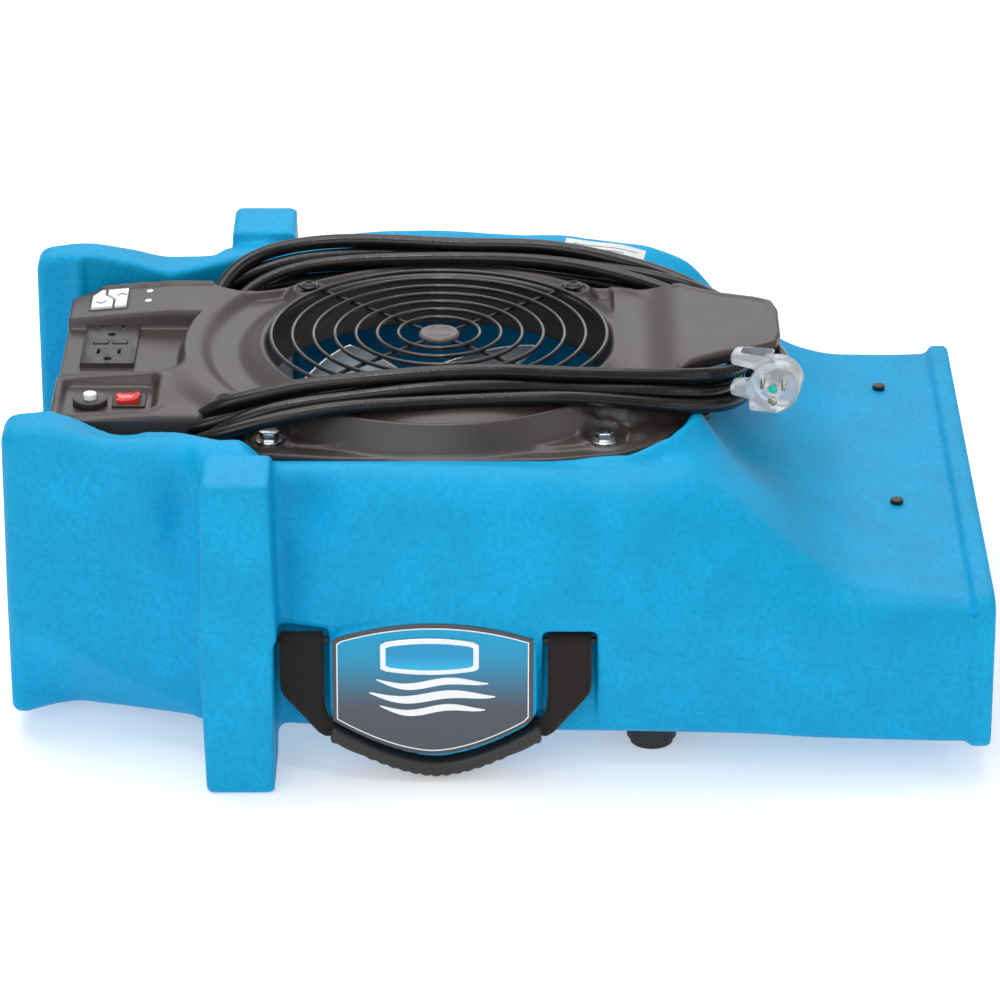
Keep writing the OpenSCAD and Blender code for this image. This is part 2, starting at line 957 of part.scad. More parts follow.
module socket_body() {
    color([0.16, 0.16, 0.16])
        translate([socket_x, socket_y, socket_top])
            difference() {
                translate([-socket_w / 2, -socket_l / 2, -socket_depth])
                    cube([socket_w, socket_l, socket_depth]);
                outlet_slots();
                for (x = [TEST_X, RESET_X])
                    translate([x - button_w / 2 - 0.3, -button_l / 2 - 0.3, -5])
                        cube([button_w + 0.6, button_l + 0.6, 6]);
                for (y = [-31.2, 31.2])
                    translate([0, y, -10])
                        cylinder(h = 12, r = 1.5);
            }
}

module socket_screws() {
    color(zinc)
        for (y = [-31.2, 31.2])
            translate([socket_x, socket_y + y, socket_top - 9])
                cylinder(h = 9, r = 1.5);
}

module socket_button(x) {
    translate([socket_x + x - button_w / 2, socket_y - button_l / 2, socket_top - 3])
        cube([button_w, button_l, 3.6]);
}

module test_button() {
    color([0.12, 0.12, 0.12])
        socket_button(TEST_X);
}

module reset_button() {
    color([0.14, 0.14, 0.14])
        socket_button(RESET_X);
}

// Two interlocking keys, split by a stepped line across the pad.
key_w = key_x1 - key_x0;
key_l = key_y1 - key_y0;

module key_down_plan() {
    polygon([
        [1.4, 1.4], [0.59 * key_w, 1.4], [0.59 * key_w, 0.42 * key_l], [0.37 * key_w, 0.68 * key_l],
        [0.37 * key_w, key_l - 1.4], [0.26 * key_w, key_l - 1.4], [1.4, 0.66 * key_l]
    ]);
}

module key_up_plan() {
    polygon([
        [0.65 * key_w, 1.4], [key_w - 1.4, 1.4], [key_w - 1.4, key_l - 1.4],
        [0.43 * key_w, key_l - 1.4], [0.43 * key_w, 0.71 * key_l], [0.65 * key_w, 0.45 * key_l]
    ]);
}

module keypad_frame() {
    color([0.1, 0.1, 0.1])
        difference() {
            translate([key_x0, key_y0, 195])
                cube([key_w, key_l, deck_z + 0.4 - 195]);
            translate([key_x0 + 1, key_y0 + 1, 196.4])
                cube([key_w - 2, key_l - 2, 10]);
        }
}

module key_down() {
    color([0.88, 0.88, 0.86])
        translate([key_x0, key_y0, 197.8])
            linear_extrude(4)
                key_down_plan();
}

module key_up() {
    color([0.88, 0.88, 0.86])
        translate([key_x0, key_y0, 197.8])
            linear_extrude(4)
                key_up_plan();
}

module indicator_lenses() {
    color([0.9, 0.9, 0.88])
        for (y = [68, 84])
            translate([-219, y, 194])
                cylinder(h = deck_z + 0.5 - 194, r = 2.2);
}

module breaker_body() {
    color([0.1, 0.1, 0.1])
        translate([breaker_x, breaker_y, 0])
            difference() {
                union() {
                    translate([0, 0, block_floor])
                        cylinder(h = 4, r = 10.5);
                    translate([0, 0, 166])
                        cylinder(h = block_floor - 166, r = 6.2);
                }
                translate([0, 0, 184])
                    cylinder(h = 20, r = 4.2);
            }
}

module breaker_button() {
    color([0.92, 0.92, 0.9])
        translate([breaker_x, breaker_y, 187.2])
            cylinder(h = 10, r = 4);
}

module rocker_frame() {
    color([0.1, 0.1, 0.1])
        translate([rocker_x, rocker_y, 0])
            difference() {
                union() {
                    translate([-8.8, -11.8, block_floor])
                        cube([17.6, 23.6, 1.4]);
                    translate([-7.2, -10.2, 168])
                        cube([14.4, 20.4, block_floor - 168]);
                }
                translate([-5.8, -8.8, 176])
                    cube([11.6, 17.6, 30]);
            }
}

rocker_pivot_z = 189;

module rocker_switch() {
    color([0.85, 0.1, 0.1])
        translate([rocker_x, rocker_y, rocker_pivot_z])
            rotate([0, -rocker_swing / 2, 0])
                rotate([90, 0, 0])
                    translate([0, 0, -8.2])
                        linear_extrude(16.4)
                            polygon([
                                [-5.2, 5.8], [-2.6, 4.6], [2.6, 4.6], [5.2, 5.8],
                                [4.6, -2], [2, -4.5], [-2, -4.5], [-4.6, -2]
                            ]);
}

// ---------------------------------------------------------------- badge and handle

module badge_plate() {
    color([0.25, 0.33, 0.38])
        translate([badge_x, 0, 0])
            on_front(badge_face_y - 1.6, 1.6)
                shield(0);
}

module badge_emblem() {
    color([0.15, 0.5, 0.7])
        translate([badge_x - 2, badge_face_y - 1.6, 82])
            rotate([90, 0, 0])
                linear_extrude(1)
                    polygon([
                        [-24, -6], [-20, -9], [20, -9], [24, -6], [24, 6], [20, 9], [-20, 9], [-24, 6]
                    ]);
}

module handle_pins() {
    color(steel)
        for (side = [-1, 1])
            translate([fan_x + side * strap_mid - 18.5, pin_y, pin_z])
                rotate([0, 90, 0])
                    cylinder(h = 37, r = pin_r);
}

grip_half = 60;

module strap(side) {
    inner = strap_mid - strap_w / 2;
    outer = strap_mid + strap_w / 2;
    difference() {
        union() {
            on_front(pin_y - strap_t / 2, strap_t)
                polygon([
                    [fan_x + side * inner, pin_z], [fan_x + side * outer, pin_z],
                    [fan_x + side * outer, 50], [fan_x + side * 72, 19],
                    [fan_x + side * 62, 22], [fan_x + side * 62, 38], [fan_x + side * inner, 44]
                ]);
            translate([fan_x + side * strap_mid - strap_w / 2, pin_y, pin_z])
                rotate([0, 90, 0])
                    cylinder(h = strap_w, r = pin_r + strap_t - 0.4);
        }
        translate([fan_x + side * strap_mid - strap_w, pin_y, pin_z])
            rotate([0, 90, 0])
                cylinder(h = 2 * strap_w, r = pin_r + run_gap);
    }
}

module handle_straps() {
    color([0.09, 0.09, 0.09]) {
        strap(-1);
        strap(1);
    }
}

// The grip hangs under the boss and follows its bowed lower edge.
grip_depth = 20;
function grip_top(x) = arch_low(x, 3) - 2.6;

module handle_grip() {
    steps = 10;
    thick = 11.5;
    color([0.12, 0.11, 0.11])
        translate([fan_x, pin_y + 10, 0])
            rotate([90, 0, 0])
                linear_extrude(grip_depth)
                    polygon(concat(
                        [for (i = [-steps:steps]) let (x = 62.5 * i / steps) [x, grip_top(x) - thick]],
                        [for (i = [steps:-1:-steps]) let (x = 62.5 * i / steps) [x, grip_top(x)]]
                    ));
}

// ---------------------------------------------------------------- outlet guard

guard_x = 272;
outlet_half = 184;
OUTLET_Z = [34, 48, 62, 76, 90, 102];
outlet_bar_n = 7;

module outlet_guard() {
    color([0.12, 0.12, 0.12])
        union() {
            for (z = OUTLET_Z)
                translate([guard_x, -outlet_half, z])
                    rotate([-90, 0, 0])
                        cylinder(h = 2 * outlet_half, r = 1.6, $fn = 20);
            for (i = [0:outlet_bar_n - 1])
                translate([guard_x + 2.6, -outlet_half + 4 + i * (2 * outlet_half - 8) / (outlet_bar_n - 1), 30])
                    cylinder(h = 76, r = 1.6, $fn = 20);
            for (p = OUTLET_TOP)
                difference() {
                    translate([p[0] - 7, p[1] - 7, 103.6])
                        cube([guard_x - p[0] + 8, 14, 2.4]);
                    translate([p[0], p[1], 90])
                        cylinder(h = 30, r = outlet_hole_r);
                }
            for (p = OUTLET_LOW)
                difference() {
                    translate([p[0] - 7, p[1] - 7, 29.6])
                        cube([guard_x - p[0] + 10, 14, 2.4]);
                    translate([p[0], p[1], 10])
                        cylinder(h = 40, r = outlet_hole_r);
                }
        }
}

module outlet_screws() {
    color([0.08, 0.08, 0.08]) {
        for (p = OUTLET_TOP)
            translate([p[0], p[1], 0]) {
                translate([0, 0, duct_top_z - 0.6])
                    cylinder(h = 2.6, r = 4);
                translate([0, 0, 98])
                    cylinder(h = duct_top_z - 98, r = 2);
            }
        for (p = OUTLET_LOW)
            translate([p[0], p[1], 0]) {
                translate([0, 0, duct_low_z - 2.4])
                    cylinder(h = 2.2, r = 4);
                translate([0, 0, duct_low_z - 1])
                    cylinder(h = 14, r = 2);
            }
    }
}

// ---------------------------------------------------------------- power cord

// Centre line of the wound cord: [x, y, z, half width across, half height].
WINDING = [
    [-203.5, 0, 165, 9, 14], [-203.5, -60, 165, 9, 14], [-201, -92, 170, 9, 14],
    [-188, -117, 187, 10, 12], [-158, -119, 202, 14, 11], [-110, -106, 212, 17, 9.5],
    [-36, -99.5, 217, 19, 9], [50, -96, 215.5, 18, 9], [98, -93, 210, 14, 10],
    [130, -85, 204.5, 11, 11], [150, -60, 195, 9.5, 12], [154, -20, 191, 9, 14],
    [154, 20, 190, 9, 14], [147, 58, 190, 9, 13], [128, 90, 195, 10, 12],
    [96, 116, 202, 13, 11], [50, 133, 202, 12, 12], [-36, 138, 212, 14, 9],
    [-110, 135, 208, 15, 10], [-160, 124, 204, 12, 11], [-189, 108, 184, 10, 12],
    [-202, 72, 168, 9, 14]
];

module power_cord() {
    rings = loop_path(WINDING, 3);
    k = len(rings);
    m = 10;
    points = [for (i = [0:k - 1])
        let (p = rings[i], dir = unit(place(rings[(i + 1) % k]) - place(rings[(i + k - 1) % k])))
        each tube_ring(place(p), dir, p[3], p[4], m)];
    sides = [for (i = [0:k - 1]) for (j = [0:m - 1])
        let (a = i * m + j, b = i * m + (j + 1) % m, c = ((i + 1) % k) * m + j, d = ((i + 1) % k) * m + (j + 1) % m)
        each [[a, b, d], [a, d, c]]];
    color([0.1, 0.1, 0.1])
        polyhedron(points, sides, convexity = 6);
}

module cord_gland() {
    color([0.1, 0.1, 0.1])
        translate([gland_x, gland_y, 165])
            rotate([0, 90, gland_turn])
                cylinder(h = 16, r = 6);
}

module cord_tag() {
    color([0.92, 0.92, 0.9])
        translate([67, 126, 221])
            rotate([28, 0, -4])
                translate([-26, -7, 0])
                    cube([52, 14, 0.8]);
}

plug_x = 165;
plug_y = -88;
plug_z = 203;
plug_len = 26;
plug_turn = -12;
SLOT_X = [-6.35, 6.35];
pin_drop = 6.5;
lamp_drop = -1.5;

// Local frame of the plug: its face is at the origin, and the cord leaves along +Z.
module at_plug() {
    translate([plug_x, plug_y, plug_z])
        rotate([-90, 0, plug_turn])
            children();
}

module plug_body() {
    color([0.85, 0.85, 0.86])
        at_plug()
            difference() {
                union() {
                    cylinder(h = plug_len, r = plug_d / 2);
                    translate([0, 0, plug_len])
                        cylinder(h = 10, r = 7);
                }
                for (x = SLOT_X)
                    translate([x - 0.8, -7.6, -1])
                        cube([1.6, 6.4, 13]);
                translate([0, pin_drop, -1])
                    cylinder(h = 13, r = 2.4);
                translate([0, lamp_drop, -1])
                    cylinder(h = 4, r = 2.6);
            }
}

module plug_blades() {
    color([0.82, 0.74, 0.5])
        at_plug() {
            for (x = SLOT_X)
                translate([x - 0.8, -7.6, 1])
                    cube([1.6, 6.4, 11]);
            translate([0, pin_drop, 1])
                cylinder(h = 11, r = 2.4);
        }
}

module plug_light() {
    color([0.1, 0.75, 0.5])
        at_plug()
            translate([0, lamp_drop, 0])
                cylinder(h = 3, r = 2.6);
}

// Two horns beside the plug that hold a strand of the cord between them.
module plug_clip() {
    color([0.85, 0.86, 0.87])
        at_plug()
            for (y = [-19, 1])
                translate([-plug_d / 2 - 11, y, 5])
                    cube([16, 5, 12]);
}

housing();
rubber_feet();
foot_screws();
inlet_cover();
cover_bolts();
cover_washers();
inlet_guard();
guard_screws();
motor_bracket();
motor_screws();
motor_can();
motor_end_cap();
motor_bearings();
stator_core();
stator_windings();
rotor_core();
motor_shaft();
impeller_hub();
impeller_blades();
impeller_nut();
motor_lead();
electronics_tray();
control_board();
run_capacitor();
socket_body();
socket_screws();
test_button();
reset_button();
keypad_frame();
key_up();
key_down();
indicator_lenses();
breaker_body();
breaker_button();
rocker_frame();
rocker_switch();
badge_plate();
badge_emblem();
handle_pins();
handle_straps();
handle_grip();
outlet_guard();
outlet_screws();
cord_gland();
power_cord();
cord_tag();
plug_body();
plug_blades();
plug_clip();
plug_light();
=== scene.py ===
"""Low-profile air mover: the visual model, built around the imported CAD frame."""
import json
import math

import bmesh
import bpy
import numpy as np
from mathutils import Matrix, Vector
from numpy import hypot, linspace, maximum, minimum

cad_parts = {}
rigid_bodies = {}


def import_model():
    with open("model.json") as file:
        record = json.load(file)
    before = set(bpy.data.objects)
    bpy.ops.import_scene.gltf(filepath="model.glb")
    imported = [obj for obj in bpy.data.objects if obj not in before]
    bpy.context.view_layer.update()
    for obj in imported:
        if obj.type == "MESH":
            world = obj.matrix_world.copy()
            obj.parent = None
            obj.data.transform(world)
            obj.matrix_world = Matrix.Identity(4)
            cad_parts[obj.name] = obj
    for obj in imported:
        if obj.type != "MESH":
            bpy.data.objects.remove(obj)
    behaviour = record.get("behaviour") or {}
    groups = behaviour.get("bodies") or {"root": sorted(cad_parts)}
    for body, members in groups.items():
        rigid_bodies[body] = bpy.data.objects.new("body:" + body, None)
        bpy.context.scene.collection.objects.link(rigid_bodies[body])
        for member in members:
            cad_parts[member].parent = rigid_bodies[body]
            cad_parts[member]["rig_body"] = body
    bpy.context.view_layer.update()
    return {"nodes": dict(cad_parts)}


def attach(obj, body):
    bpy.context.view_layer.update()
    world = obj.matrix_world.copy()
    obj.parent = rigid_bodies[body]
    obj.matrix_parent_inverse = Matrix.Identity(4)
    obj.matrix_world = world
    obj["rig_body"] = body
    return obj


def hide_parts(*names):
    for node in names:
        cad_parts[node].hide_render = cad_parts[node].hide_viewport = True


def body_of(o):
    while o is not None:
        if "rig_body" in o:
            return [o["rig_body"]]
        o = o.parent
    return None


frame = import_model()
MM = 0.001
FAN_X = -36.0
SCENE = bpy.context.scene
SCREW_R = 117.4  # guard screws, from the fan's axis
BREAKER, ROCKER = (-245, -76), (-225, -78)
TILT, TILT_FROM = 0.09, -205.0  # the control end falls away to the left

# ---- camera

camera = bpy.data.objects.new("camera", bpy.data.cameras.new("camera"))
SCENE.collection.objects.link(camera)
camera.location = (0.014, -2.9949, 1.4328)
camera.rotation_euler = (math.radians(90 - 23.83), 0, 0)
camera.data.sensor_width = 36
camera.data.lens = 189.756
camera.data.shift_x = -0.0206
camera.data.shift_y = -0.0258
camera.data.clip_end = 50
SCENE.camera = camera

# ---- small helpers


def obj_from(name, verts, faces, smooth=True, scale=MM):
    """A mesh object from points in millimetres."""
    mesh = bpy.data.meshes.new(name)
    mesh.from_pydata([tuple(float(c) * scale for c in v) for v in verts], [], faces)
    mesh.validate()
    if smooth:
        mesh.polygons.foreach_set("use_smooth", [True] * len(mesh.polygons))
    obj = bpy.data.objects.new(name, mesh)
    SCENE.collection.objects.link(obj)
    return obj


def finish(obj, body, mat, replaces=()):
    obj.data.materials.clear()
    obj.data.materials.append(mat)
    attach(obj, body)
    if replaces:
        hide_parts(*replaces)
    return obj


def apply_modifiers(obj):
    graph = bpy.context.evaluated_depsgraph_get()
    mesh = bpy.data.meshes.new_from_object(obj.evaluated_get(graph))
    obj.modifiers.clear()
    old = obj.data
    obj.data = mesh
    bpy.data.meshes.remove(old)
    return obj


def clean(obj, weld=False):
    """Turns the faces outward, and joins points that lie on each other."""
    bm = bmesh.new()
    bm.from_mesh(obj.data)
    if weld:
        bmesh.ops.remove_doubles(bm, verts=bm.verts, dist=1e-6)
    bmesh.ops.recalc_face_normals(bm, faces=bm.faces)
    bm.to_mesh(obj.data)
    bm.free()


def bevel(obj, width, segments=3, angle=35):
    mod = obj.modifiers.new("bevel", "BEVEL")
    mod.width = width * MM
    mod.segments = segments
    mod.limit_method = "ANGLE"
    mod.angle_limit = math.radians(angle)
    mod.use_clamp_overlap = True
    apply_modifiers(obj)
    smooth_by_angle(obj, 50)
    return obj


def smooth_by_angle(obj, degrees=40):
    mesh = obj.data
    bm = bmesh.new()
    bm.from_mesh(mesh)
    limit = math.radians(degrees)
    for face in bm.faces:
        face.smooth = True
    for edge in bm.edges:
        edge.smooth = len(edge.link_faces) != 2 or edge.calc_face_angle(0) < limit
    bm.to_mesh(mesh)
    bm.free()


def detailed(part, name, width):
    """A copy of a CAD node's mesh with its hard edges rounded."""
    mesh = frame["nodes"][part].data.copy()
    mesh.materials.clear()
    bm = bmesh.new()
    bm.from_mesh(mesh)
    bmesh.ops.remove_doubles(bm, verts=bm.verts, dist=2e-6)
    bmesh.ops.dissolve_limit(bm, angle_limit=math.radians(1.0), verts=bm.verts, edges=bm.edges)
    bm.to_mesh(mesh)
    bm.free()
    obj = bpy.data.objects.new(name, mesh)
    SCENE.collection.objects.link(obj)
    return bevel(obj, width)


def lathe(name, profile, centre, segments=64):
    """A turned piece about the vertical: profile is [(radius, height)] in millimetres."""
    verts, faces = [], []
    count = len(profile)
    for i in range(segments):
        a = 2 * math.pi * i / segments
        for r, z in profile:
            verts.append((centre[0] + r * math.cos(a), centre[1] + r * math.sin(a), centre[2] + z))
    for i in range(segments):
        for j in range(count - 1):
            a, b = i * count + j, (i + 1) % segments * count + j
            faces.append((a, b, b + 1, a + 1))
    faces.append([i * count for i in range(segments)][::-1])
    faces.append([i * count + count - 1 for i in range(segments)])
    obj = obj_from(name, verts, faces)
    clean(obj, weld=True)
    smooth_by_angle(obj, 40)
    return obj


def tube(name, points, radius, sides=14, closed=False):
    """A round tube along points in millimetres."""
    pts = np.array(points, float)
    n = len(pts)
    if closed:
        tangents = np.roll(pts, -1, 0) - np.roll(pts, 1, 0)
    else:
        tangents = np.gradient(pts, axis=0)
    tangents /= np.linalg.norm(tangents, axis=1)[:, None]
    up = np.array([0.0, 0.0, 1.0])
    if abs(tangents[0] @ up) > 0.95:
        up = np.array([0.0, 1.0, 0.0])
    verts, faces = [], []
    side = np.cross(tangents[0], up)
    for i in range(n):
        side = side - tangents[i] * (side @ tangents[i])
        side /= np.linalg.norm(side)
        top = np.cross(side, tangents[i])
        for j in range(sides):
            a = 2 * math.pi * j / sides
            verts.append(pts[i] + radius * (math.cos(a) * side + math.sin(a) * top))
    for i in range(n if closed else n - 1):
        for j in range(sides):
            k = (j + 1) % sides
            a, b = i * sides + j, i * sides + k
            c, d = (i + 1) % n * sides + j, (i + 1) % n * sides + k
            faces.append((a, b, d, c))
    if not closed:
        faces.append(list(range(sides))[::-1])
        faces.append([(n - 1) * sides + j for j in range(sides)])
    return obj_from(name, verts, faces)


def spline(points, per=8):
    """Catmull-Rom points through the given ones."""
    p = np.array(points, float)
    n = len(p)
    out = []
    for i in range(n - 1):
        a, b, c, d = p[max(i - 1, 0)], p[i], p[i + 1], p[min(i + 2, n - 1)]
        for t in (j / per for j in range(per)):
            out.append(0.5 * (2 * b + (c - a) * t + (2 * a - 5 * b + 4 * c - d) * t**2
                              + (3 * b - a - 3 * c + d) * t**3))
    out.append(p[-1])
    return np.array(out)


def resample(points, step):
    along = np.concatenate([[0], np.cumsum(np.linalg.norm(np.diff(points, axis=0), axis=1))])
    at = linspace(0, along[-1], int(along[-1] / step) + 1)
    return np.stack([np.interp(at, along, points[:, k]) for k in range(3)], 1)


# ---- materials


def put(mat, target, inputs):
    """Sets a node's inputs: a socket is linked, and anything else is a plain value."""
    for key, value in inputs.items():
        if isinstance(value, bpy.types.NodeSocket):
            mat.node_tree.links.new(value, target.inputs[key])
        else:
            target.inputs[key].default_value = value


def node(mat, kind, inputs, out=0, **settings):
    """Adds a shader node and gives one of its outputs."""
    made = mat.node_tree.nodes.new("ShaderNode" + kind)
    for key, value in settings.items():
        setattr(made, key, value)
    put(mat, made, inputs)
    return made.outputs[out]


def remap(mat, value, low, high, to_low, to_high, kind="LINEAR"):
    return node(mat, "MapRange", {"Value": value, "From Min": low, "From Max": high, "To Min": to_low,
                                  "To Max": to_high}, "Result", interpolation_type=kind)


def mix(mat, fac, a, b):
    return node(mat, "Mix", {0: fac, 6: a, 7: b}, 2, data_type="RGBA")


def principled(mat):
    return mat.node_tree.nodes["Principled BSDF"]


def source_of(mat, key):
    """What already feeds one of the shader's inputs."""
    return principled(mat).inputs[key].links[0].from_socket


def place_xyz(mat):
    """A point's X, Y and Z on the object itself."""
    where = node(mat, "TexCoord", {}, "Object")
    return [node(mat, "SeparateXYZ", {0: where}, axis) for axis in "XYZ"]


def add_relief(mat, height, strength, depth):
    normal = node(mat, "Bump", {"Strength": strength, "Distance": depth * MM, "Height": height,
                                "Normal": source_of(mat, "Normal")}, "Normal")
    put(mat, principled(mat), {"Normal": normal})


def material(name, color, rough=0.5, metal=0.0, tint=0.06, tint_scale=60.0, grain=900.0, bump=0.15, depth=0.1,
             rough_vary=0.08, fine=0.0, edge_highlight=0.0, edge_highlight_color=(0.5, 0.5, 0.5), **sockets):
    """A plastic, metal or rubber with colour, roughness and relief from noise in object space, and an optional
    painted highlight on convex edges.
    """
    mat = bpy.data.materials.new(name)
    mat.use_nodes = True
    where = node(mat, "TexCoord", {}, "Object")
    large, small = [
        node(mat, "TexNoise", {"Scale": scale, "Detail": 3, "Roughness": level, "Vector": where}, "Fac")
        for scale, level in ((tint_scale, 0.55), (grain, 0.6))]

    def shade(gain):
        return (*(min(c * gain, 1) for c in color), 1)

    base = mix(mat, remap(mat, large, 0.35, 0.65, 0.0, 1.0), shade(1 - tint), shade(1 + tint))
    if fine:
        base = mix(mat, remap(mat, small, 0.4, 0.7, 0.0, fine), base, shade(0.66))
    # painted highlight: convex edges, found by pointiness, are lightened towards a pale grey in place of the
    # light they catch
    if edge_highlight:
        edge = node(mat, "NewGeometry", {}, "Pointiness")
        base = mix(mat, remap(mat, edge, 0.53, 0.62, 0.0, edge_highlight), base, (*edge_highlight_color, 1))
    gloss = remap(mat, large, 0.3, 0.7, rough - rough_vary, rough + rough_vary)
    relief = node(mat, "Bump", {"Strength": bump, "Distance": depth * MM, "Height": small}, "Normal")
    put(mat, principled(mat), {"Metallic": metal, "Base Color": base, "Roughness": gloss, "Normal": relief,
                               **{key.replace("_", " "): value for key, value in sockets.items()}})
    return mat


M = {
    # the black cover carries the painted edge highlight
    "cover": material("cover_black", (0.040, 0.031, 0.028), 0.38, bump=0.08, grain=1400, depth=0.05,
                      rough_vary=0.02, tint=0.05, edge_highlight=0.25, edge_highlight_color=(0.12, 0.11, 0.105)),
    "tray": material("tray_black", (0.03, 0.028, 0.027), 0.5, bump=0.1),
    "socket": material("socket_black", (0.028, 0.023, 0.021), 0.42, bump=0.08, grain=2200, depth=0.04),
    "jacket": material("cable_jacket", (0.007, 0.0055, 0.005), 0.26, Specular_IOR_Level=0.38, bump=0.03,
                       grain=500, depth=0.04, tint=0.12, rough_vary=0.06),
    "zinc": material("zinc_steel", (0.78, 0.79, 0.80), 0.24, 1.0, tint=0.07, tint_scale=400, bump=0.1,
                     grain=2600, depth=0.03),
    "steel": material("bright_steel", (0.66, 0.67, 0.68), 0.3, 1.0, bump=0.08, grain=1500),
    "blacksteel": material("black_steel", (0.02, 0.02, 0.02), 0.38, 0.4, bump=0.1),
    "guard": material("guard_black", (0.010, 0.008, 0.008), 0.24, bump=0.03, grain=900, depth=0.03,
                      Specular_IOR_Level=0.4, Coat_Weight=0.3, Coat_Roughness=0.15),
    "bracket": material("bracket_steel", (0.5, 0.51, 0.52), 0.42, 0.9, tint=0.15, tint_scale=90, bump=0.1),
    "paint": material("motor_paint", (0.12, 0.13, 0.14), 0.5, bump=0.12),
    "core": material("core_steel", (0.42, 0.42, 0.43), 0.45, 0.9, bump=0.2),
    "copper": material("copper_wire", (0.6, 0.27, 0.11), 0.35, 0.8, bump=0.4, grain=700, depth=0.4),
    "fan": material("fan_aluminium", (0.20, 0.24, 0.27), 0.42, 0.75, tint=0.12, tint_scale=45, bump=0.12,
                    grain=600, depth=0.08),
    # painted glint: a pale metal for the strips along the blade edges
    "edge_glint": material("fan_edge_glint", (0.75, 0.78, 0.8), 0.25, 0.9, bump=0.1),
    "foot": material("foot_rubber", (0.02, 0.02, 0.02), 0.62, bump=0.2, grain=1100),
    "board": material("board_green", (0.04, 0.2, 0.09), 0.4),
    "can": material("capacitor_can", (0.6, 0.61, 0.63), 0.3, 0.9),
    "key": material("key_white", (0.80, 0.79, 0.77), 0.4, tint=0.02, bump=0.05),
    "mark": material("key_mark", (0.18, 0.18, 0.19), 0.5),
    "button": material("button_white", (0.86, 0.86, 0.84), 0.25, tint=0.02),
    "red": material("rocker_red", (0.62, 0.018, 0.012), 0.22, tint=0.08, tint_scale=200, bump=0.05,
                    Coat_Weight=0.4, Coat_Roughness=0.1),
    "grip": material("grip_rubber", (0.020, 0.017, 0.016), 0.5, bump=0.3, grain=1600, depth=0.15),
    "tag": material("tag_white", (0.60, 0.63, 0.64), 0.45, tint=0.02, bump=0.06),
    "brass": material("brass_blades", (0.62, 0.5, 0.28), 0.3, 1.0),
    "green": material("plug_green", (0.0, 0.45, 0.27), 0.25, tint=0.1, Emission_Color=(0.0, 0.6, 0.35, 1),
                      Emission_Strength=0.25),
}


def housing_material():
    """Roto-moulded polyethylene: a mottled blue, with a seam that falls towards the outlet."""
    mat = material("housing_blue", (0.0005, 0.335, 0.62), 0.52, Specular_IOR_Level=0.18, tint=0.07,
                   tint_scale=26, bump=0.28, grain=360, depth=0.22, fine=0.5, rough_vary=0.03)
    x, _, z = place_xyz(mat)
    level = remap(mat, x, -0.293, 0.293, 0.117, 0.066)
    above = node(mat, "Math", {0: z, 1: level}, operation="SUBTRACT")
    away = node(mat, "Math", {0: above}, operation="ABSOLUTE")
    add_relief(mat, remap(mat, away, 0.0, 0.0011, 1.0, 0.0, "SMOOTHSTEP"), 0.55, 0.5)
    return mat


def graded(name, top_color, low_color, z_top, z_low, rough):
    """A printed panel that fades from one colour to another down its height."""
    mat = material(name, top_color, rough, tint=0.02, tint_scale=30, bump=0.02, Specular_IOR_Level=0.3)
    level = remap(mat, place_xyz(mat)[2], z_low * MM, z_top * MM, 0.0, 1.0, "SMOOTHSTEP")
    put(mat, principled(mat), {"Base Color": mix(mat, level, (*low_color, 1), source_of(mat, "Base Color"))})
    return mat


def webbing_material():
    """Nylon webbing: a herringbone of fine ribs."""
    mat = material("webbing_black", (0.008, 0.006, 0.005), 0.75, Specular_IOR_Level=0.2, tint=0.2,
                   tint_scale=300, bump=0.25, grain=1800, depth=0.15, Sheen_Weight=0.12, Sheen_Roughness=0.4)
    x, _, z = place_xyz(mat)
    column = node(mat, "Math", {0: x, 1: 0.0032}, operation="PINGPONG")
    slant = node(mat, "Math", {0: z, 1: column}, operation="ADD")
    phase = node(mat, "Math", {0: slant, 1: 2 * math.pi / 0.0017}, operation="MULTIPLY")
    wave = node(mat, "Math", {0: phase}, operation="SINE")
    add_relief(mat, wave, 0.7, 0.3)
    lift = remap(mat, wave, -1, 1, 0.0, 0.55)
    put(mat, principled(mat), {"Base Color": mix(mat, lift, source_of(mat, "Base Color"),
                                                 (0.042, 0.032, 0.026, 1))})
    return mat


M["blue"] = housing_material()
M["clear"] = material("plug_clear", (0.74, 0.75, 0.76), 0.14, tint=0.03, tint_scale=150, bump=0.15, grain=300,
                      depth=0.3, rough_vary=0.05, Transmission_Weight=0.62, IOR=1.45)
M["webbing"] = webbing_material()
M["panel"] = graded("badge_panel", (0.008, 0.30, 0.52), (0.075, 0.085, 0.10), 96, 46, 0.35)
M["border"] = material("badge_border", (0.055, 0.055, 0.058), 0.4, bump=0.05)
M["stripe"] = material("badge_stripe", (0.82, 0.83, 0.84), 0.4, tint=0.02)
M["silver"] = material("emblem_silver", (0.74, 0.77, 0.80), 0.3, 0.6, bump=0.04)
M["emblem"] = graded("emblem_blue", (0.015, 0.28, 0.52), (0.03, 0.42, 0.70), 88, 74, 0.12)
M["disc"] = material("guard_disc", (0.10, 0.085, 0.08), 0.4, bump=0.08)
M["hub"] = material("hub_metal", (0.10, 0.11, 0.12), 0.42, 0.6, bump=0.1)

# ---- power cord

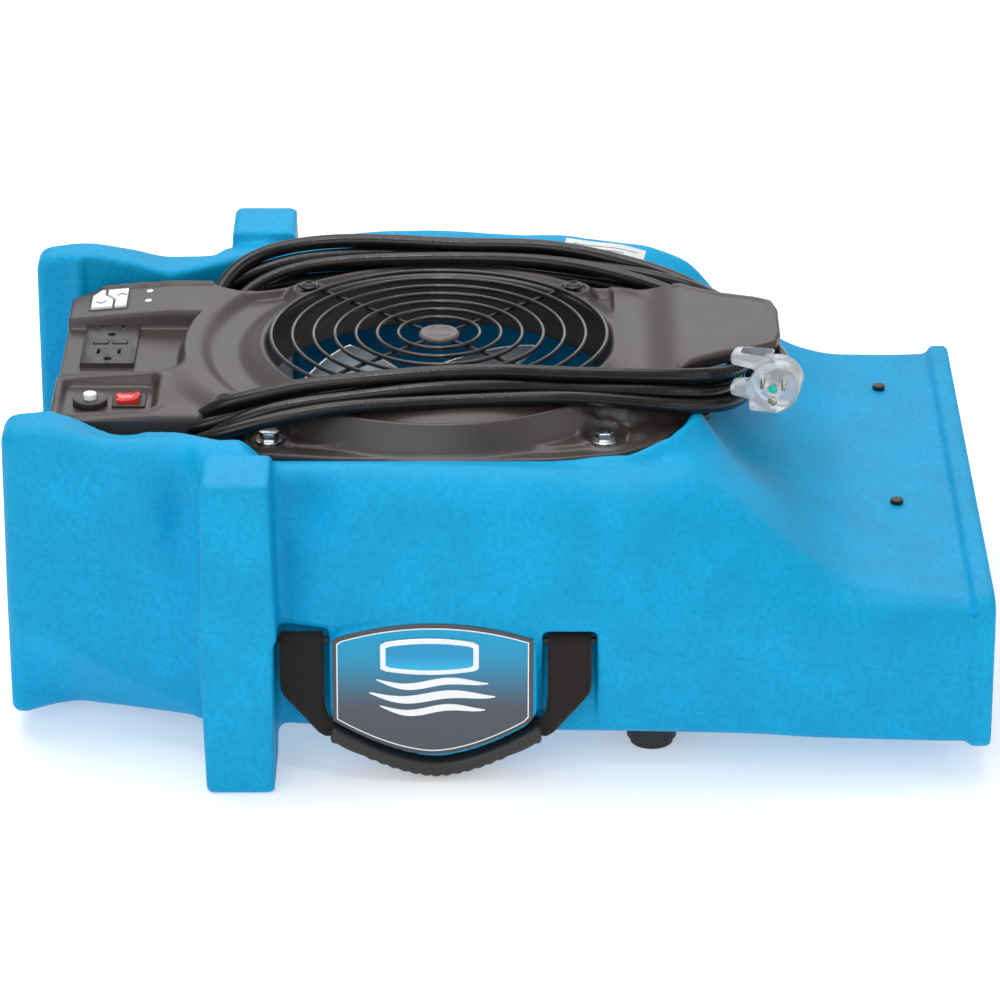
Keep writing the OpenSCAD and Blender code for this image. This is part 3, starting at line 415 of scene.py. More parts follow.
CORD_D = 9.0
GAP = CORD_D + 0.25
DECK_CLEAR, GUARD_CLEAR = 204.6, 210.9  # lowest centreline over the deck and over the guard
UNDER_PLATFORM, UNDER_HOOK = 177.0, 203.6  # highest centreline under each
POCKET_CLEAR = 141.2  # furthest centreline out, inside the pocket
LEFT_LANES = [(-200.7, 165.5), (-208, 156.5), (-199, 156.5), (-208, 174.5), (-199, 174.5)]
RIGHT_LANES = [(158.5, 181), (149.5, 184), (149.5, 193), (157, 197)]
NEAR = [
    [(-176, -131, 192), (-157, -126, 197), (-140, -122, 201), (-120, -119, 203.5), (-89, -114, 204.6),
     (-59, -109, 204.6), (-28, -103, 205), (3, -99, 205), (59, -94, 204), (110, -98, 196), (136, -84, 189)],
    [(-180, -128, 192.5), (-157, -114, 202), (-120, -104, 205), (-89, -104, 206), (-59, -103.5, 206.5),
     (-28, -100, 206.5), (3, -97, 206.5), (59, -90, 205), (112, -90, 204), (136, -78, 196)],
    [(-180, -121, 193), (-158, -108, 200), (-130, -104, 203), (-60, -93, 207), (0, -88, 210.7),
     (60, -80, 207), (108, -80, 203.5), (136, -72, 200)],
    [(-181, -124, 196), (-151, -108, 204), (-120, -98, 208.5), (-89, -99.5, 211.5), (-59, -101, 213),
     (-28, -98, 213), (3, -94, 212.5), (59, -85.5, 210.5), (105, -82, 209.5), (138, -79, 209)],
]
FAR = [
    [(-165, 124, 190), (-133, 137, 188), (-99, 139, 187.3), (3, 139.5, 185.6), (50, 126, 189), (92, 110, 192),
     (135, 78, 188)],
    [(-168, 126, 195), (-133, 138, 196), (-99, 139, 196.5), (3, 139.5, 194.6), (92, 98.5, 194),
     (130, 76, 190)],
    [(-172, 114, 194), (-160, 117, 199), (-133, 123, 204), (-99, 124, 204.5), (-50, 126, 204.7),
     (3, 127.5, 204.7), (46, 121, 205), (92, 93, 201.5), (120, 84, 197)],
    [(-172, 124, 198), (-133, 131, 205), (-99, 133, 206), (-36, 140.5, 202.6), (3, 139.5, 202.6),
     (92, 104, 202), (130, 84, 200)],
    [(-170, 132, 202), (-133, 138.5, 213), (-99, 137.5, 213), (-62, 136.5, 209), (-31, 134, 207.6),
     (3, 134, 207.4), (39, 131, 205.5), (92, 118, 204), (122, 98, 202), (144, 68, 196)],
]
GLAND = (-211.2, -48.7, 165.0)
PLUG = Vector((165, -88, 203))
PLUG_TURN = math.radians(-12)
PLUG_OUT = Vector((-math.sin(PLUG_TURN), math.cos(PLUG_TURN), 0))


def cord_route():
    """The wound cord, from its gland round the four hooks and into the plug's neck."""
    pts = [GLAND, (-209.0, -46.5, 165.0), (-204.5, -41, 165.2), (-201.5, -33, 165.4)]
    for turn in range(5):
        lane_x, lane_z = LEFT_LANES[turn]
        off_x, off_z = lane_x + 203.5, lane_z - 165
        if turn:
            pts += [(-190 + off_x, -117 + 0.3 * off_x, 185 + 0.8 * off_z),
                    (-200 + off_x, -94, 171 + off_z), (lane_x, -60, lane_z), (lane_x, -25, lane_z)]
        pts += [(lane_x, 20, lane_z), (lane_x, 58, lane_z),
                (-200 + off_x, 86, 171 + off_z), (-188 + off_x, 108 - 0.3 * off_x, 183 + 0.8 * off_z)]
        pts += FAR[turn]
        if turn < 4:
            rx, rz = RIGHT_LANES[turn]
            pts += [(rx, 48, rz), (rx, 14, rz), (rx, -20, rz), (rx - 2, -50, rz)]
            pts += NEAR[turn][::-1]
    neck = PLUG + PLUG_OUT * 36
    pts += [(160, 38, 196), (166, 6, 199), (168.5, -22, 202)]
    pts += [tuple(neck + PLUG_OUT * 14), tuple(neck)]
    return resample(spline(pts, 10), 5.0)


def relax_cord(pts, rounds=60):
    """Slides the turns beside each other, off the cover, the guard and the pocket's wall."""
    p, home = pts.copy(), pts.copy()
    n = len(p)
    index = np.arange(n)
    apart = np.abs(index[:, None] - index[None, :]) > 7
    pin = np.ones(n)
    pin[:4], pin[-6:] = 0, 0
    for step in range(rounds):
        last = step > rounds - 12
        mid = (np.roll(p, 1, 0) + np.roll(p, -1, 0)) / 2
        wide = (np.roll(p, 3, 0) + np.roll(p, -3, 0)) / 2
        move = 0.35 * (mid - p) + 0.10 * (wide - p)
        if not last:
            move += 0.02 * (home - p)
        move[:4], move[-4:] = 0, 0
        p += move * pin[:, None]
        for again in range(2):
            d = p[:, None, :] - p[None, :, :]
            dist = np.sqrt((d**2).sum(2)) + 1e-6
            close = apart & (dist < GAP)
            push = np.where(close, (GAP - dist) / dist, 0)[:, :, None] * d
            count = maximum(close.sum(1), 1)[:, None]
            p += 0.5 * push.sum(1) / count**0.5 * pin[:, None]
            x, y, z = p.T
            rr = hypot(x - FAN_X, y)
            on_deck = (rr < 130) | ((x > -190) & (x < -100) & (abs(y) < 84))
            z = np.where(on_deck & (z > 186), maximum(z, DECK_CLEAR), z)
            z = np.where((rr < 104) & (z > 186), maximum(z, GUARD_CLEAR), z)
            z = np.where((x < -184) & (abs(y) < 97), minimum(z, UNDER_PLATFORM), z)
            z = np.where((x > 104) & (x < 171) & (abs(y) < 46), minimum(z, UNDER_HOOK), z)
            y = np.where((z < 200) & (abs(x) < 100), np.clip(y, -POCKET_CLEAR, POCKET_CLEAR), y)
            new = np.stack([x, y, z], 1)
            p = np.where(pin[:, None] > 0, new, p)
    for step in range(6):
        wide = (np.roll(p, 2, 0) + np.roll(p, -2, 0) + np.roll(p, 1, 0) + np.roll(p, -1, 0)) / 4
        p[2:-2] += 0.5 * (wide - p)[2:-2]
    return resample(spline(resample(p, 12.0), 6), 4.0)


cord_pts = relax_cord(cord_route(), 60)
curve = bpy.data.curves.new("power_cable", "CURVE")
curve.dimensions = "3D"
poly = curve.splines.new("POLY")
poly.points.add(len(cord_pts) - 1)
for point, co in zip(poly.points, cord_pts):
    point.co = (*(float(c) * MM for c in co), 1)
curve.bevel_depth = CORD_D / 2 * MM
curve.bevel_resolution = 5
curve.use_fill_caps = True
cable = bpy.data.objects.new("power_cable", curve)
SCENE.collection.objects.link(cable)
cable.data.materials.append(M["jacket"])
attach(cable, "chassis")
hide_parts("power_cord")

# ---- solid modelling on a grid


def rmax(a, b, r):
    """Intersection of two distance fields with a rounded edge."""
    return minimum(-r, maximum(a, b)) + hypot(maximum(r + a, 0), maximum(r + b, 0))


def rmin(a, b, r):
    return -rmax(-a, -b, r)


def smax(a, b, k):
    """The larger of two heights, with the crease between them softened."""
    h = maximum(k - np.abs(a - b), 0) / k
    return maximum(a, b) + h * h * k / 4


def poly2d(x, y, corners):
    """Distance to a closed outline in plan, negative inside."""
    c = np.array(corners, np.float32)
    best = np.full(np.broadcast(x, y).shape, 1e9, np.float32)
    sign = np.ones_like(best)
    for i in range(len(c)):
        (ax, ay), (bx, by) = c[i], c[i - 1]
        ex, ey = bx - ax, by - ay
        wx, wy = x - ax, y - ay
        t = np.clip((wx * ex + wy * ey) / (ex * ex + ey * ey), 0, 1)
        best = minimum(best, (wx - t * ex) ** 2 + (wy - t * ey) ** 2)
        c1, c2, c3 = y >= ay, y < by, ex * wy > ey * wx
        flip = (c1 & c2 & c3) | (~c1 & ~c2 & ~c3)
        sign = np.where(flip, -sign, sign)
    return np.sqrt(best) * sign


def smooth01(t):
    t = np.clip(t, 0, 1)
    return t * t * (3 - 2 * t)


def hill(t, centre, width):
    return np.exp(-(((t - centre) / width) ** 2))


def grid(x0, x1, y0, y1, z0, z1, h):
    x = np.arange(x0, x1 + h, h, dtype=np.float32)[:, None, None]
    y = np.arange(y0, y1 + h, h, dtype=np.float32)[None, :, None]
    z = np.arange(z0, z1 + h, h, dtype=np.float32)[None, None, :]
    return x, y, z


def surface(name, d, origin, h):
    """A smooth skin over the zero level of a sampled distance field."""
    inside = d < 0
    count = np.zeros(tuple(s - 1 for s in d.shape), np.int8)
    corners = [(i, j, k) for i in (0, 1) for j in (0, 1) for k in (0, 1)]

    def shifted(a, c):
        return a[tuple(slice(o, a.shape[n] - 1 + o) for n, o in enumerate(c))]

    for c in corners:
        count += shifted(inside, c)
    cells = np.argwhere((count > 0) & (count < 8))
    ids = np.full(count.shape, -1, np.int64)
    ids[tuple(cells.T)] = np.arange(len(cells))
    value = {c: d[tuple((cells + c).T)] for c in corners}
    total, hits = np.zeros((len(cells), 3)), np.zeros(len(cells))
    for a in corners:
        for axis in range(3):
            if a[axis]:
                continue
            b = tuple(1 if n == axis else a[n] for n in range(3))
            cross = (value[a] < 0) != (value[b] < 0)
            t = np.where(cross, value[a] / np.where(cross, value[a] - value[b], 1), 0)
            at = np.array(a, float)[None, :].repeat(len(cells), 0)
            at[:, axis] = t
            total += at * cross[:, None]
            hits += cross
    verts = np.array(origin) + h * (cells + total / hits[:, None])
    quads = []
    for axis in range(3):
        u, v = (axis + 1) % 3, (axis + 2) % 3
        low = [slice(None)] * 3
        high = [slice(None)] * 3
        low[axis], high[axis] = slice(0, -1), slice(1, None)
        a, b = inside[tuple(low)], inside[tuple(high)]
        edges = np.argwhere(a != b)
        edges = edges[(edges[:, u] > 0) & (edges[:, v] > 0)]
        edges = edges[(edges[:, u] < d.shape[u] - 1) & (edges[:, v] < d.shape[v] - 1)]
        out = a[tuple(edges.T)]
        ring = []
        for du, dv in ((1, 1), (0, 1), (0, 0), (1, 0)):
            e = edges.copy()
            e[:, u] -= du
            e[:, v] -= dv
            ring.append(ids[tuple(e.T)])
        q = np.stack(ring, 1)
        q[~out] = q[~out][:, ::-1]
        quads.append(q)
    quads = np.concatenate(quads)
    quads = quads[(quads >= 0).all(1)]
    mesh = bpy.data.meshes.new(name)
    mesh.vertices.add(len(verts))
    mesh.vertices.foreach_set("co", (verts * MM).astype(np.float32).ravel())
    mesh.loops.add(len(quads) * 4)
    mesh.loops.foreach_set("vertex_index", quads.astype(np.int32).ravel())
    mesh.polygons.add(len(quads))
    mesh.polygons.foreach_set("loop_start", np.arange(0, len(quads) * 4, 4, dtype=np.int32))
    mesh.polygons.foreach_set("loop_total", np.full(len(quads), 4, np.int32))
    mesh.polygons.foreach_set("use_smooth", np.ones(len(quads), bool))
    mesh.update(calc_edges=True)
    mesh.validate()
    obj = bpy.data.objects.new(name, mesh)
    SCENE.collection.objects.link(obj)
    return obj


# ---- housing

STATIONS = np.array([
    # x, half width at top, at the parting line, at the bottom, bottom, top, shoulder radius
    (-293, 146, 150, 146, 12, 203, 8), (-262, 154, 156, 150, 10, 206, 8), (-226, 158, 162, 156, 14, 198, 10),
    (-190, 166, 173, 165, 19, 197, 12), (-150, 176, 186, 174, 23, 198, 18),
    (-100, 190, 198, 181, 23, 198, 22), (-40, 196, 203, 186, 23, 197, 28),
    (20, 196, 203, 187, 23, 193, 32), (60, 194, 203, 188, 23, 188, 36),
    (92, 190, 203, 189, 23, 189, 36), (112, 188, 203, 190, 23, 184, 36), (134, 188, 202, 191, 23, 169, 36),
    (160, 189, 202, 193, 23, 150, 32), (187, 191, 201, 195, 22, 128, 26), (214, 194, 200, 197, 22, 116, 18),
    (262, 196, 200, 198, 21, 113, 14), (278, 197, 200, 198, 21, 113, 12), (282, 200, 203, 201, 19, 117.5, 12),
    (295, 200, 203, 201, 19, 117.5, 12)], float)
POCKET = [(-262, -116.5), (-206, -120), (-164, -146), (76, -146), (101, -122), (124, -62),
          (124, 62), (101, 122), (76, 146), (-164, 146), (-206, 120), (-262, 116.5)]


WALL = 6.5


def arch_low(x, g):
    """Height of the handle arch's underside at x from its middle."""
    return 20 - g + 23 * minimum(np.abs(x / 59), 1) ** 1.7


def housing_field(x, y, z):
    col = [np.interp(x, STATIONS[:, 0], STATIONS[:, k]).astype(np.float32) for k in range(1, 7)]
    top_w, mid_w, low_w, z_bot, z_top, shoulder = col
    # sampled stations would leave kinks, so neighbouring values are averaged along x
    def soften(a):
        n = 5 if a.shape[0] > 150 else 3
        pad = np.pad(a[:, 0, 0], n, mode="edge")
        return np.convolve(pad, np.ones(2 * n + 1) / (2 * n + 1), "valid")[:, None, None].astype(np.float32)

    lip = smooth01((x - 277) / 5)
    keep_top = z_top
    top_w, mid_w, low_w, z_top, shoulder = [
        np.where(x > 268, a, soften(a)) for a in (top_w, mid_w, low_w, z_top, shoulder)]
    part = 95.0  # height of the widest level
    up = np.clip((z - part) / maximum(keep_top.clip(108) - part, 8), 0, 1)
    down = np.clip((part - z) / (part - z_bot), 0, 1)
    width = mid_w + (top_w - mid_w) * up + (low_w - mid_w) * down
    wing = smooth01((-174 - x) / 10) * smooth01((x + 296) / 8)
    ridge = 194 - (x + 293) * 0.20
    chine = 60 - (x + 250) * 0.42
    inset = 0.4 * maximum(z - ridge, 0) * wing
    inset = inset + 5.5 * hill(z, 118, 36) * hill(x, -232, 36)
    inset = inset + 0.58 * maximum(chine - z, 0) * wing * smooth01((x + 300) / 50)
    inset = inset + 11 * hill(x, -184, 15) * hill(z, 152, 30)
    inset = inset + 7 * hill(x, -112, 19) * hill(z, 172, 20)
    inset = inset - 1.6 * hill(z, 108 + 2 * np.sin(x / 40), 7) * smooth01((x + 90) / 60)
    width = width - inset
    out = np.abs(y)
    top = z_top + 7 * hill(x, 124, 13) * hill(out, 84, 11)
    top = top - 9 * hill(x, 150, 20) * hill(out, 66, 26)
    top = top - 5 * hill(x, 92, 22) * hill(out, 150, 20)
    inner = smooth01((186 - np.abs(y)) / 40) * smooth01((x + 153) / 20) * smooth01((112 - x) / 45)
    top = top + (minimum(184.0, top) - top) * inner
    top = top + 2.5 * smooth01((y - 168) / 10) * smooth01((x + 130) / 60) * smooth01((95 - x) / 60)
    ear = smooth01((-208 - x) / 28)
    top = top + np.where(y > 0, 5.0, -2.0) * ear * smooth01((np.abs(y) - 60) / 40)
    top = top + 9 * hill(x, 92, 20) * hill(y, 158, 20)
    top = top + 11 * hill(x, 124, 16) * hill(y, 166, 18)
    top = top + 4 * smooth01((y - 150) / 20) * smooth01((x - 10) / 40) * smooth01((130 - x) / 25)
    near_dip = smooth01((150 + y) / 25) * smooth01(-y / 20)
    top = top - 8 * hill(x, -222, 26) * near_dip
    rim_x = smooth01((x - 30) / 40) * smooth01((132 - x) / 12) * smooth01((np.abs(y) - 66) / 14)
    rim_plan = poly2d(x[:, :, 0], y[:, :, 0], POCKET)[:, :, None]
    top = top + 4.5 * hill(rim_plan, 5.0, 4.5) * rim_x
    crisp = smooth01(y / 40) * smooth01((122 - x) / 60)
    shoulder = (shoulder + (minimum(shoulder, 9) - shoulder) * crisp).astype(np.float32)
    side = (np.abs(y) - width) * 0.985
    slope = 1 / np.sqrt(1 + np.gradient(z_top[:, 0, 0], x[:, 0, 0]) ** 2)[:, None, None]
    body = rmax(side, (z - top) * slope.astype(np.float32), shoulder)
    body = rmax(body, z_bot - z, 9)
    outer = rmax(body, np.abs(x) - 293, 9 - 6.5 * lip)
    ear_gap = rmax(rmax(x + 268, np.abs(y) - 115, 8), 70 - z, 10)
    outer = rmax(outer, -ear_gap, 5)
    shell = maximum(outer, -(outer + WALL))

    # pocket for the cover, with its ledge
    plan = poly2d(x[:, :, 0], y[:, :, 0], POCKET)[:, :, None]
    radius = hypot(x - FAN_X, y)
    ledge = maximum(rmax(plan - 5, 168 - z, 3), outer)
    shell = minimum(shell, ledge)
    shell = rmax(shell, -maximum(plan, 176 - z), 3.0)
    low_end = maximum(maximum(x + 233, np.abs(y) - 113), 178 - z)
    shell = rmax(shell, -low_end, 4.0)
    shell = maximum(shell, -maximum(radius - 128, 160 - z))
    bay = maximum(maximum(plan + 4, x + 172), maximum(156 - radius, 150 - z))
    bay = maximum(bay, -258 - x)
    shell = maximum(shell, -bay)
    scroll = maximum(np.abs(radius - 153.5) - 2.5, maximum(x + 154, maximum(25 - z, z - 176)))
    shell = minimum(shell, maximum(scroll, outer))
    mouth = maximum(body + 5, 250 - x)
    shell = rmax(shell, -mouth, 1.5)

    # stacking ribs
    rib_half = 20 + 3.0 * maximum(1 - np.abs(z - part) / 100, 0)
    rib = rmax(np.abs(x + 151.5) - rib_half, np.abs(y) - 221 + 1.2 * np.abs(z - part) / 100, 4)
    rib = rmax(rib, maximum(z - np.where(y < 0, 199, 204), -z), 3)
    rib = maximum(rib, 172 - np.abs(y))
    rib = maximum(rib, -(plan - 5))
    shell = rmin(shell, rib, 6)

    # badge boss, with the strap recesses either side of it
    u = x - FAN_X
    block = maximum(maximum(np.abs(u) - 104, maximum(23 - z, z - 101)),
                       maximum(y + 178, -212 - y))
    shell = minimum(shell, maximum(block, outer + 0.5))
    v = x + 37
    top_arch = 93 + 5 + 10 * (1 - (v / 59) ** 2)
    boss = rmax(np.abs(v + 0.7) - 61.8, maximum(z - top_arch, arch_low(v, 3) - z) * 0.93, 9)
    boss = rmax(boss, -206.2 - y, 2.2)
    boss = maximum(boss, y + 180)
    shell = rmin(shell, boss, 2.5)
    strap = rmax(np.abs(np.abs(u) - 79) - 16, maximum(8 - z, z - 97.5), 3)
    strap = maximum(strap, y + 188)
    shell = rmax(shell, -strap, 2.5)
    under = maximum(maximum(np.abs(u) - 64, z - arch_low(u, 3)), y + 183.5)
    shell = rmax(shell, -under, 2.5)
    return shell


H = 2.2
gx, gy, gz = grid(-299, 299, -228, 228, -5, 214, H)
housing = surface("housing_shell", housing_field(gx, gy, gz), (-299, -228, -5), H)
finish(housing, "chassis", M["blue"], ["housing"])
del gx, gy, gz

# ---- inlet cover

FLANGE = [(-182, -95), (-166, -118), (-140, -130), (-99, -136), (-57, -139), (-2, -140), (37, -138),
          (73, -130), (97, -114), (112, -84), (117, -60)]
HOOK = [(60, -90), (92, -84), (122, -58), (138, -48), (160, -40), (169, -34), (172, -20)]
BOLTS = [(-136, -110), (-136, 110), (64, -110), (64, 110)]


def mirrored(points):
    return points + [(a, -b) for a, b in points[::-1]]


def cover_field(x, y, z):
    px, py = x[:, :, 0], y[:, :, 0]
    radius = hypot(px - FAN_X, py)
    flange = poly2d(px, py, mirrored(FLANGE))
    disc = radius - 130
    neck = maximum(np.abs(px + 130) - 60, np.abs(py) - 84)
    platform = poly2d(px, py, [(-267, -107), (-178, -107), (-166, -88), (-166, 84), (-180, 97), (-248, 97),
                               (-267, 80)])
    deck = rmin(rmin(disc, neck, 16), platform, 6)
    arm = poly2d(px, py, mirrored([(40, -88), (78, -90), (118, -62), (118, -40)]))
    deck = rmin(deck, arm, 5)
    # height of the top skin
    skirt = 200 - 1.3 * maximum(deck + 2, 0) ** 1.15
    step = 183.5 - 2.5 * smooth01((flange + 13) / 3)
    top = smax(skirt, step, 6)
    dish = smooth01((149 - radius) / 12) * smooth01((radius - 110) / 16)
    dish = dish * smooth01((186 - np.abs(py) - 0.3 * np.abs(px - FAN_X)) / 60)
    collar = 0
    for k in range(4):
        sx = FAN_X + SCREW_R * math.cos(math.radians(45 + 90 * k))
        sy = SCREW_R * math.sin(math.radians(45 + 90 * k))
        well = hypot(px - sx, py - sy)
        dish = dish * (1 - smooth01((17 - well) / 7))
        collar = collar + 2.2 * hill(well, 9.4, 1.7)
    top = top - 5.5 * dish * smooth01(-(deck + 1) / 8) + collar
    top = top + 1.2 * hill(radius, 108.5, 2.6)
    for bx, by in BOLTS:
        well = hypot(px - bx, py - by)
        top = top + (180.2 - top) * smooth01((13.5 - well) / 2.5)
        top = top + 1.6 * hill(well, 14.6, 1.6)
    # control end: keypad strip, socket floor, then the switch block
    fall = TILT * maximum(TILT_FROM - px, 0)
    strip = 188.2 + (11.8 - fall) * smooth01((py - 46.5) / 3.0)
    near = 197.5 - 1.5 * smooth01((-58 - py) / 40) - 0.7 * fall
    low = strip + (near - strip) * smooth01((-24 - py) / 20)
    wall = FAN_X - np.sqrt(156.0**2 - minimum(np.abs(py), 100) ** 2)
    left = smooth01((wall - px) / (5 + 16 * smooth01((-20 - py) / 20)))
    top = np.where(px < -150, top + (minimum(low, top) - top) * left, top)
    top = top + 1.8 * smooth01((py - 92.5) / 1.5) * (deck < -0.5) * (px < -176)
    panel = rmax(np.abs(px + 234) - 28.5, np.abs(py + 72.5) - 24.5, 6)
    top = top + 1.0 * hill(panel, 3.5, 2.2) * (px < -190)
    top = np.where(px < -150, top + (190 - top) * smooth01(-(panel - 2) / 5), top)
    plan = minimum(deck - 12, flange)
    plan = maximum(plan, -268 - px)
    plan = np.where(px < -172, maximum(plan, np.abs(py + 5) - 104), plan)
    gx, gy = np.gradient(top, px[:, 0], py[0, :])
    steep = np.sqrt(1 + minimum(gx**2 + gy**2, 9))[:, :, None].astype(np.float32)
    top3, plan3 = top[:, :, None], plan[:, :, None]
    sheet = rmax((z - top3) / steep, plan3, 1.6)
    under_skin = maximum((z - top3) / steep + 4.2, plan3 + 4)
    sheet = maximum(sheet, -under_skin)
    sheet = maximum(sheet, 176.2 - z)
    r3 = radius[:, :, None]
    sheet = rmax(sheet, -(r3 - 106), 2.0)
    sheet = maximum(sheet, 6.2 - hypot(x - BREAKER[0], y - BREAKER[1]))
    ring = maximum(np.abs(r3 - 107.5) - 1.6, maximum(168 - z, z - 200))
    body = minimum(sheet, ring)
    # hook plate over the duct
    hook2 = poly2d(px, py, mirrored(HOOK))[:, :, None]
    lift = (200 + 13 * smooth01((px - 84) / 33))[:, :, None]
    crown = lift - 0.9 * smooth01((np.abs(y) - 20) / 50)
    hook = rmax(z - crown, hook2, 2.2)
    hook = rmax(hook, (lift - 4.8) - z, 1.6)
    hook = maximum(hook, 72 - x)
    lip = rmax(np.abs(hook2 + 2.4) - 2.4, maximum(z - crown, lift - 9 - z), 1.5)
    lip = maximum(lip, 110 - x)
    body = rmin(body, hook, 4)
    return rmin(body, lip, 2)


HC = 1.2
gx, gy, gz = grid(-272, 176, -146, 146, 165, 217, HC)
cover = surface("cover_skin", cover_field(gx, gy, gz), (-272, -146, 165), HC)
finish(cover, "chassis", M["cover"], ["inlet_cover"])
del gx, gy, gz

# ---- building blocks for the small pieces


def join(name, objs):
    bm = bmesh.new()
    for o in objs:
        bm.from_mesh(o.data)
        bpy.data.objects.remove(o)
    mesh = bpy.data.meshes.new(name)
    bm.to_mesh(mesh)
    bm.free()
    obj = bpy.data.objects.new(name, mesh)
    SCENE.collection.objects.link(obj)
    return obj


def slab(name, outline, y_front, y_back, edge=0.4):
    """A flat plate facing the near side, cut to an outline in X and Z, with a softened edge."""
    n = len(outline)
    verts = [(x, y_front, z) for x, z in outline] + [(x, y_back, z) for x, z in outline]
    faces = [list(range(n)), list(range(n, 2 * n))[::-1]]
    faces += [(i, i + n, (i + 1) % n + n, (i + 1) % n) for i in range(n)]
    obj = obj_from(name, verts, faces, smooth=False)
    clean(obj)
    return bevel(obj, edge, 3, 40) if edge else obj


def loft(name, rings, closed_ends=True):
    """Skin over rings of equal point counts."""
    n, m = len(rings), len(rings[0])
    verts = [p for ring in rings for p in ring]
    faces = [
        (i * m + j, i * m + (j + 1) % m, (i + 1) * m + (j + 1) % m, (i + 1) * m + j)
        for i in range(n - 1) for j in range(m)
    ]
    if closed_ends:
        faces += [list(range(m))[::-1], [(n - 1) * m + j for j in range(m)]]
    obj = obj_from(name, verts, faces)
    clean(obj)
    smooth_by_angle(obj, 42)
    return obj


# ---- inlet guard

def circle_points(r, z, n=120, cx=FAN_X, cy=0.0):
    turns = [2 * math.pi * i / n for i in range(n)]
    return [(cx + r * math.cos(a), cy + r * math.sin(a), z) for a in turns]


RING_Z, SPOKE_Z = 205, 202.9
wires = [tube("ring", circle_points(25 + 13 * i, RING_Z), 1.35, 12, True) for i in range(7)]
for k in range(4):
    a = math.radians(45 + 90 * k)
    c, s = math.cos(a), math.sin(a)
    line = [(FAN_X + r * c, r * s, SPOKE_Z) for r in linspace(6, 112.2, 12)]
    wires.append(tube("spoke", line, 1.3, 12))
    wires.append(tube("eye", circle_points(5.2, SPOKE_Z, 32, FAN_X + SCREW_R * c, SCREW_R * s), 1.25, 10, True))
a0 = math.radians(186)
weld = [(FAN_X + 64 * math.cos(a0 + t), 64 * math.sin(a0 + t), RING_Z) for t in linspace(-0.03, 0.03, 6)]
wires.append(tube("weld", weld, 1.7, 10))
guard = join("guard_wires", wires)
finish(guard, "chassis", M["guard"], ["inlet_guard"])
disc = lathe("guard_disc", [(0.01, 0), (11.6, 0), (12.4, 0.5), (12.4, 2.0), (11.4, 3.1), (8.4, 3.3),
                            (7.6, 2.8), (0.01, 2.8)], (FAN_X, 0, 202.6))
finish(disc, "chassis", M["disc"])

# ---- impeller blades

BLADES = 5


def blade_point(u, v, dz, turn):
    r = 33 + u * 68
    a = math.radians(v * 50 * (1 - 0.16 * u) + 9 * u + turn)
    z = 163 - 3 * (1 - u) - 34 * v**1.3 * (1 - 0.3 * u) + dz
    return (FAN_X + r * math.cos(a), r * math.sin(a), z)


sheets, rims = [], []
for i in range(BLADES):
    turn = 360 * i / BLADES + 44
    rings = []
    for u in linspace(0, 1, 14):
        ring = [blade_point(u, v, 0, turn) for v in linspace(0, 1, 26)]
        ring += [blade_point(u, v, -1.6, turn) for v in linspace(1, 0, 26)]
        rings.append(ring)
    sheets.append(loft("blade", rings))
    # a pale strip along each blade's leading and outer edge, a painted glint in place of the light the edges
    # catch
    edge = [blade_point(u, 0, -0.7, turn) for u in linspace(0.02, 0.995, 16)]
    edge += [blade_point(0.995, v, -0.7, turn) for v in linspace(0.04, 1, 24)]
    rims.append(tube("rim", edge, 1.15, 8))
blades = join("fan_blades", sheets)
finish(blades, "fan_rotor", M["fan"], ["impeller_blades"])
finish(join("fan_blade_edge_glints", rims), "fan_rotor", M["edge_glint"])

# ---- pieces that keep their shape, with their edges eased

heads = []
for k in range(4):
    a = math.radians(45 + 90 * k)
    at = (FAN_X + SCREW_R * math.cos(a), SCREW_R * math.sin(a), 0)
    heads.append(lathe("head", [(0.01, 186), (2.0, 186), (2.0, 203.0), (5.0, 203.0), (5.2, 203.6),
                                (4.4, 204.7), (2.2, 205.1), (1.6, 204.3), (0.01, 204.2)], at))
finish(join("guard_screw_heads", heads), "chassis", M["blacksteel"], ["guard_screws"])

EASED = {
    "cover_bolts": (0.55, "zinc"), "cover_washers": (0.3, "zinc"),
    "outlet_screws": (0.4, "blacksteel"), "rubber_feet": (1.6, "foot"), "foot_screws": (0.3, "steel"),
    "socket_body": (0.3, "socket"), "socket_screws": (0.2, "blacksteel"), "test_button": (0.3, "socket"),
    "reset_button": (0.3, "socket"), "keypad_frame": (0.3, "socket"), "key_up": (0.45, "key"),
    "key_down": (0.45, "key"), "indicator_lenses": (0.3, "key"), "breaker_body": (0.9, "socket"),
    "breaker_button": (0.8, "button"), "rocker_frame": (0.6, "socket"), "rocker_switch": (0.35, "red"),
    "motor_bracket": (0.5, "bracket"), "motor_screws": (0.3, "steel"), "motor_can": (1.2, "paint"),
    "motor_end_cap": (1.0, "paint"), "motor_bearings": (0.3, "steel"), "stator_core": (0.3, "core"),
    "stator_windings": (1.5, "copper"), "rotor_core": (0.4, "core"), "motor_shaft": (0.5, "steel"),
    "impeller_hub": (1.6, "hub"), "impeller_nut": (0.5, "steel"), "electronics_tray": (0.7, "tray"),
    "control_board": (0.15, "board"), "run_capacitor": (0.7, "can"), "handle_pins": (0.5, "blacksteel"),
    "plug_blades": (0.25, "brass"), "plug_light": (0.4, "green"), "motor_lead": (0.0, "jacket"),
    "outlet_guard": (0.0, "guard"),
}


def about(cx, cy, sx, sy, dx=0.0, dy=0.0):
    """A stretch in plan about a point, then a shift."""
    return (Matrix.Translation(Vector((cx + dx, cy + dy, 0)) * MM) @ Matrix.Diagonal((sx, sy, 1, 1))
            @ Matrix.Translation(Vector((-cx, -cy, 0)) * MM))


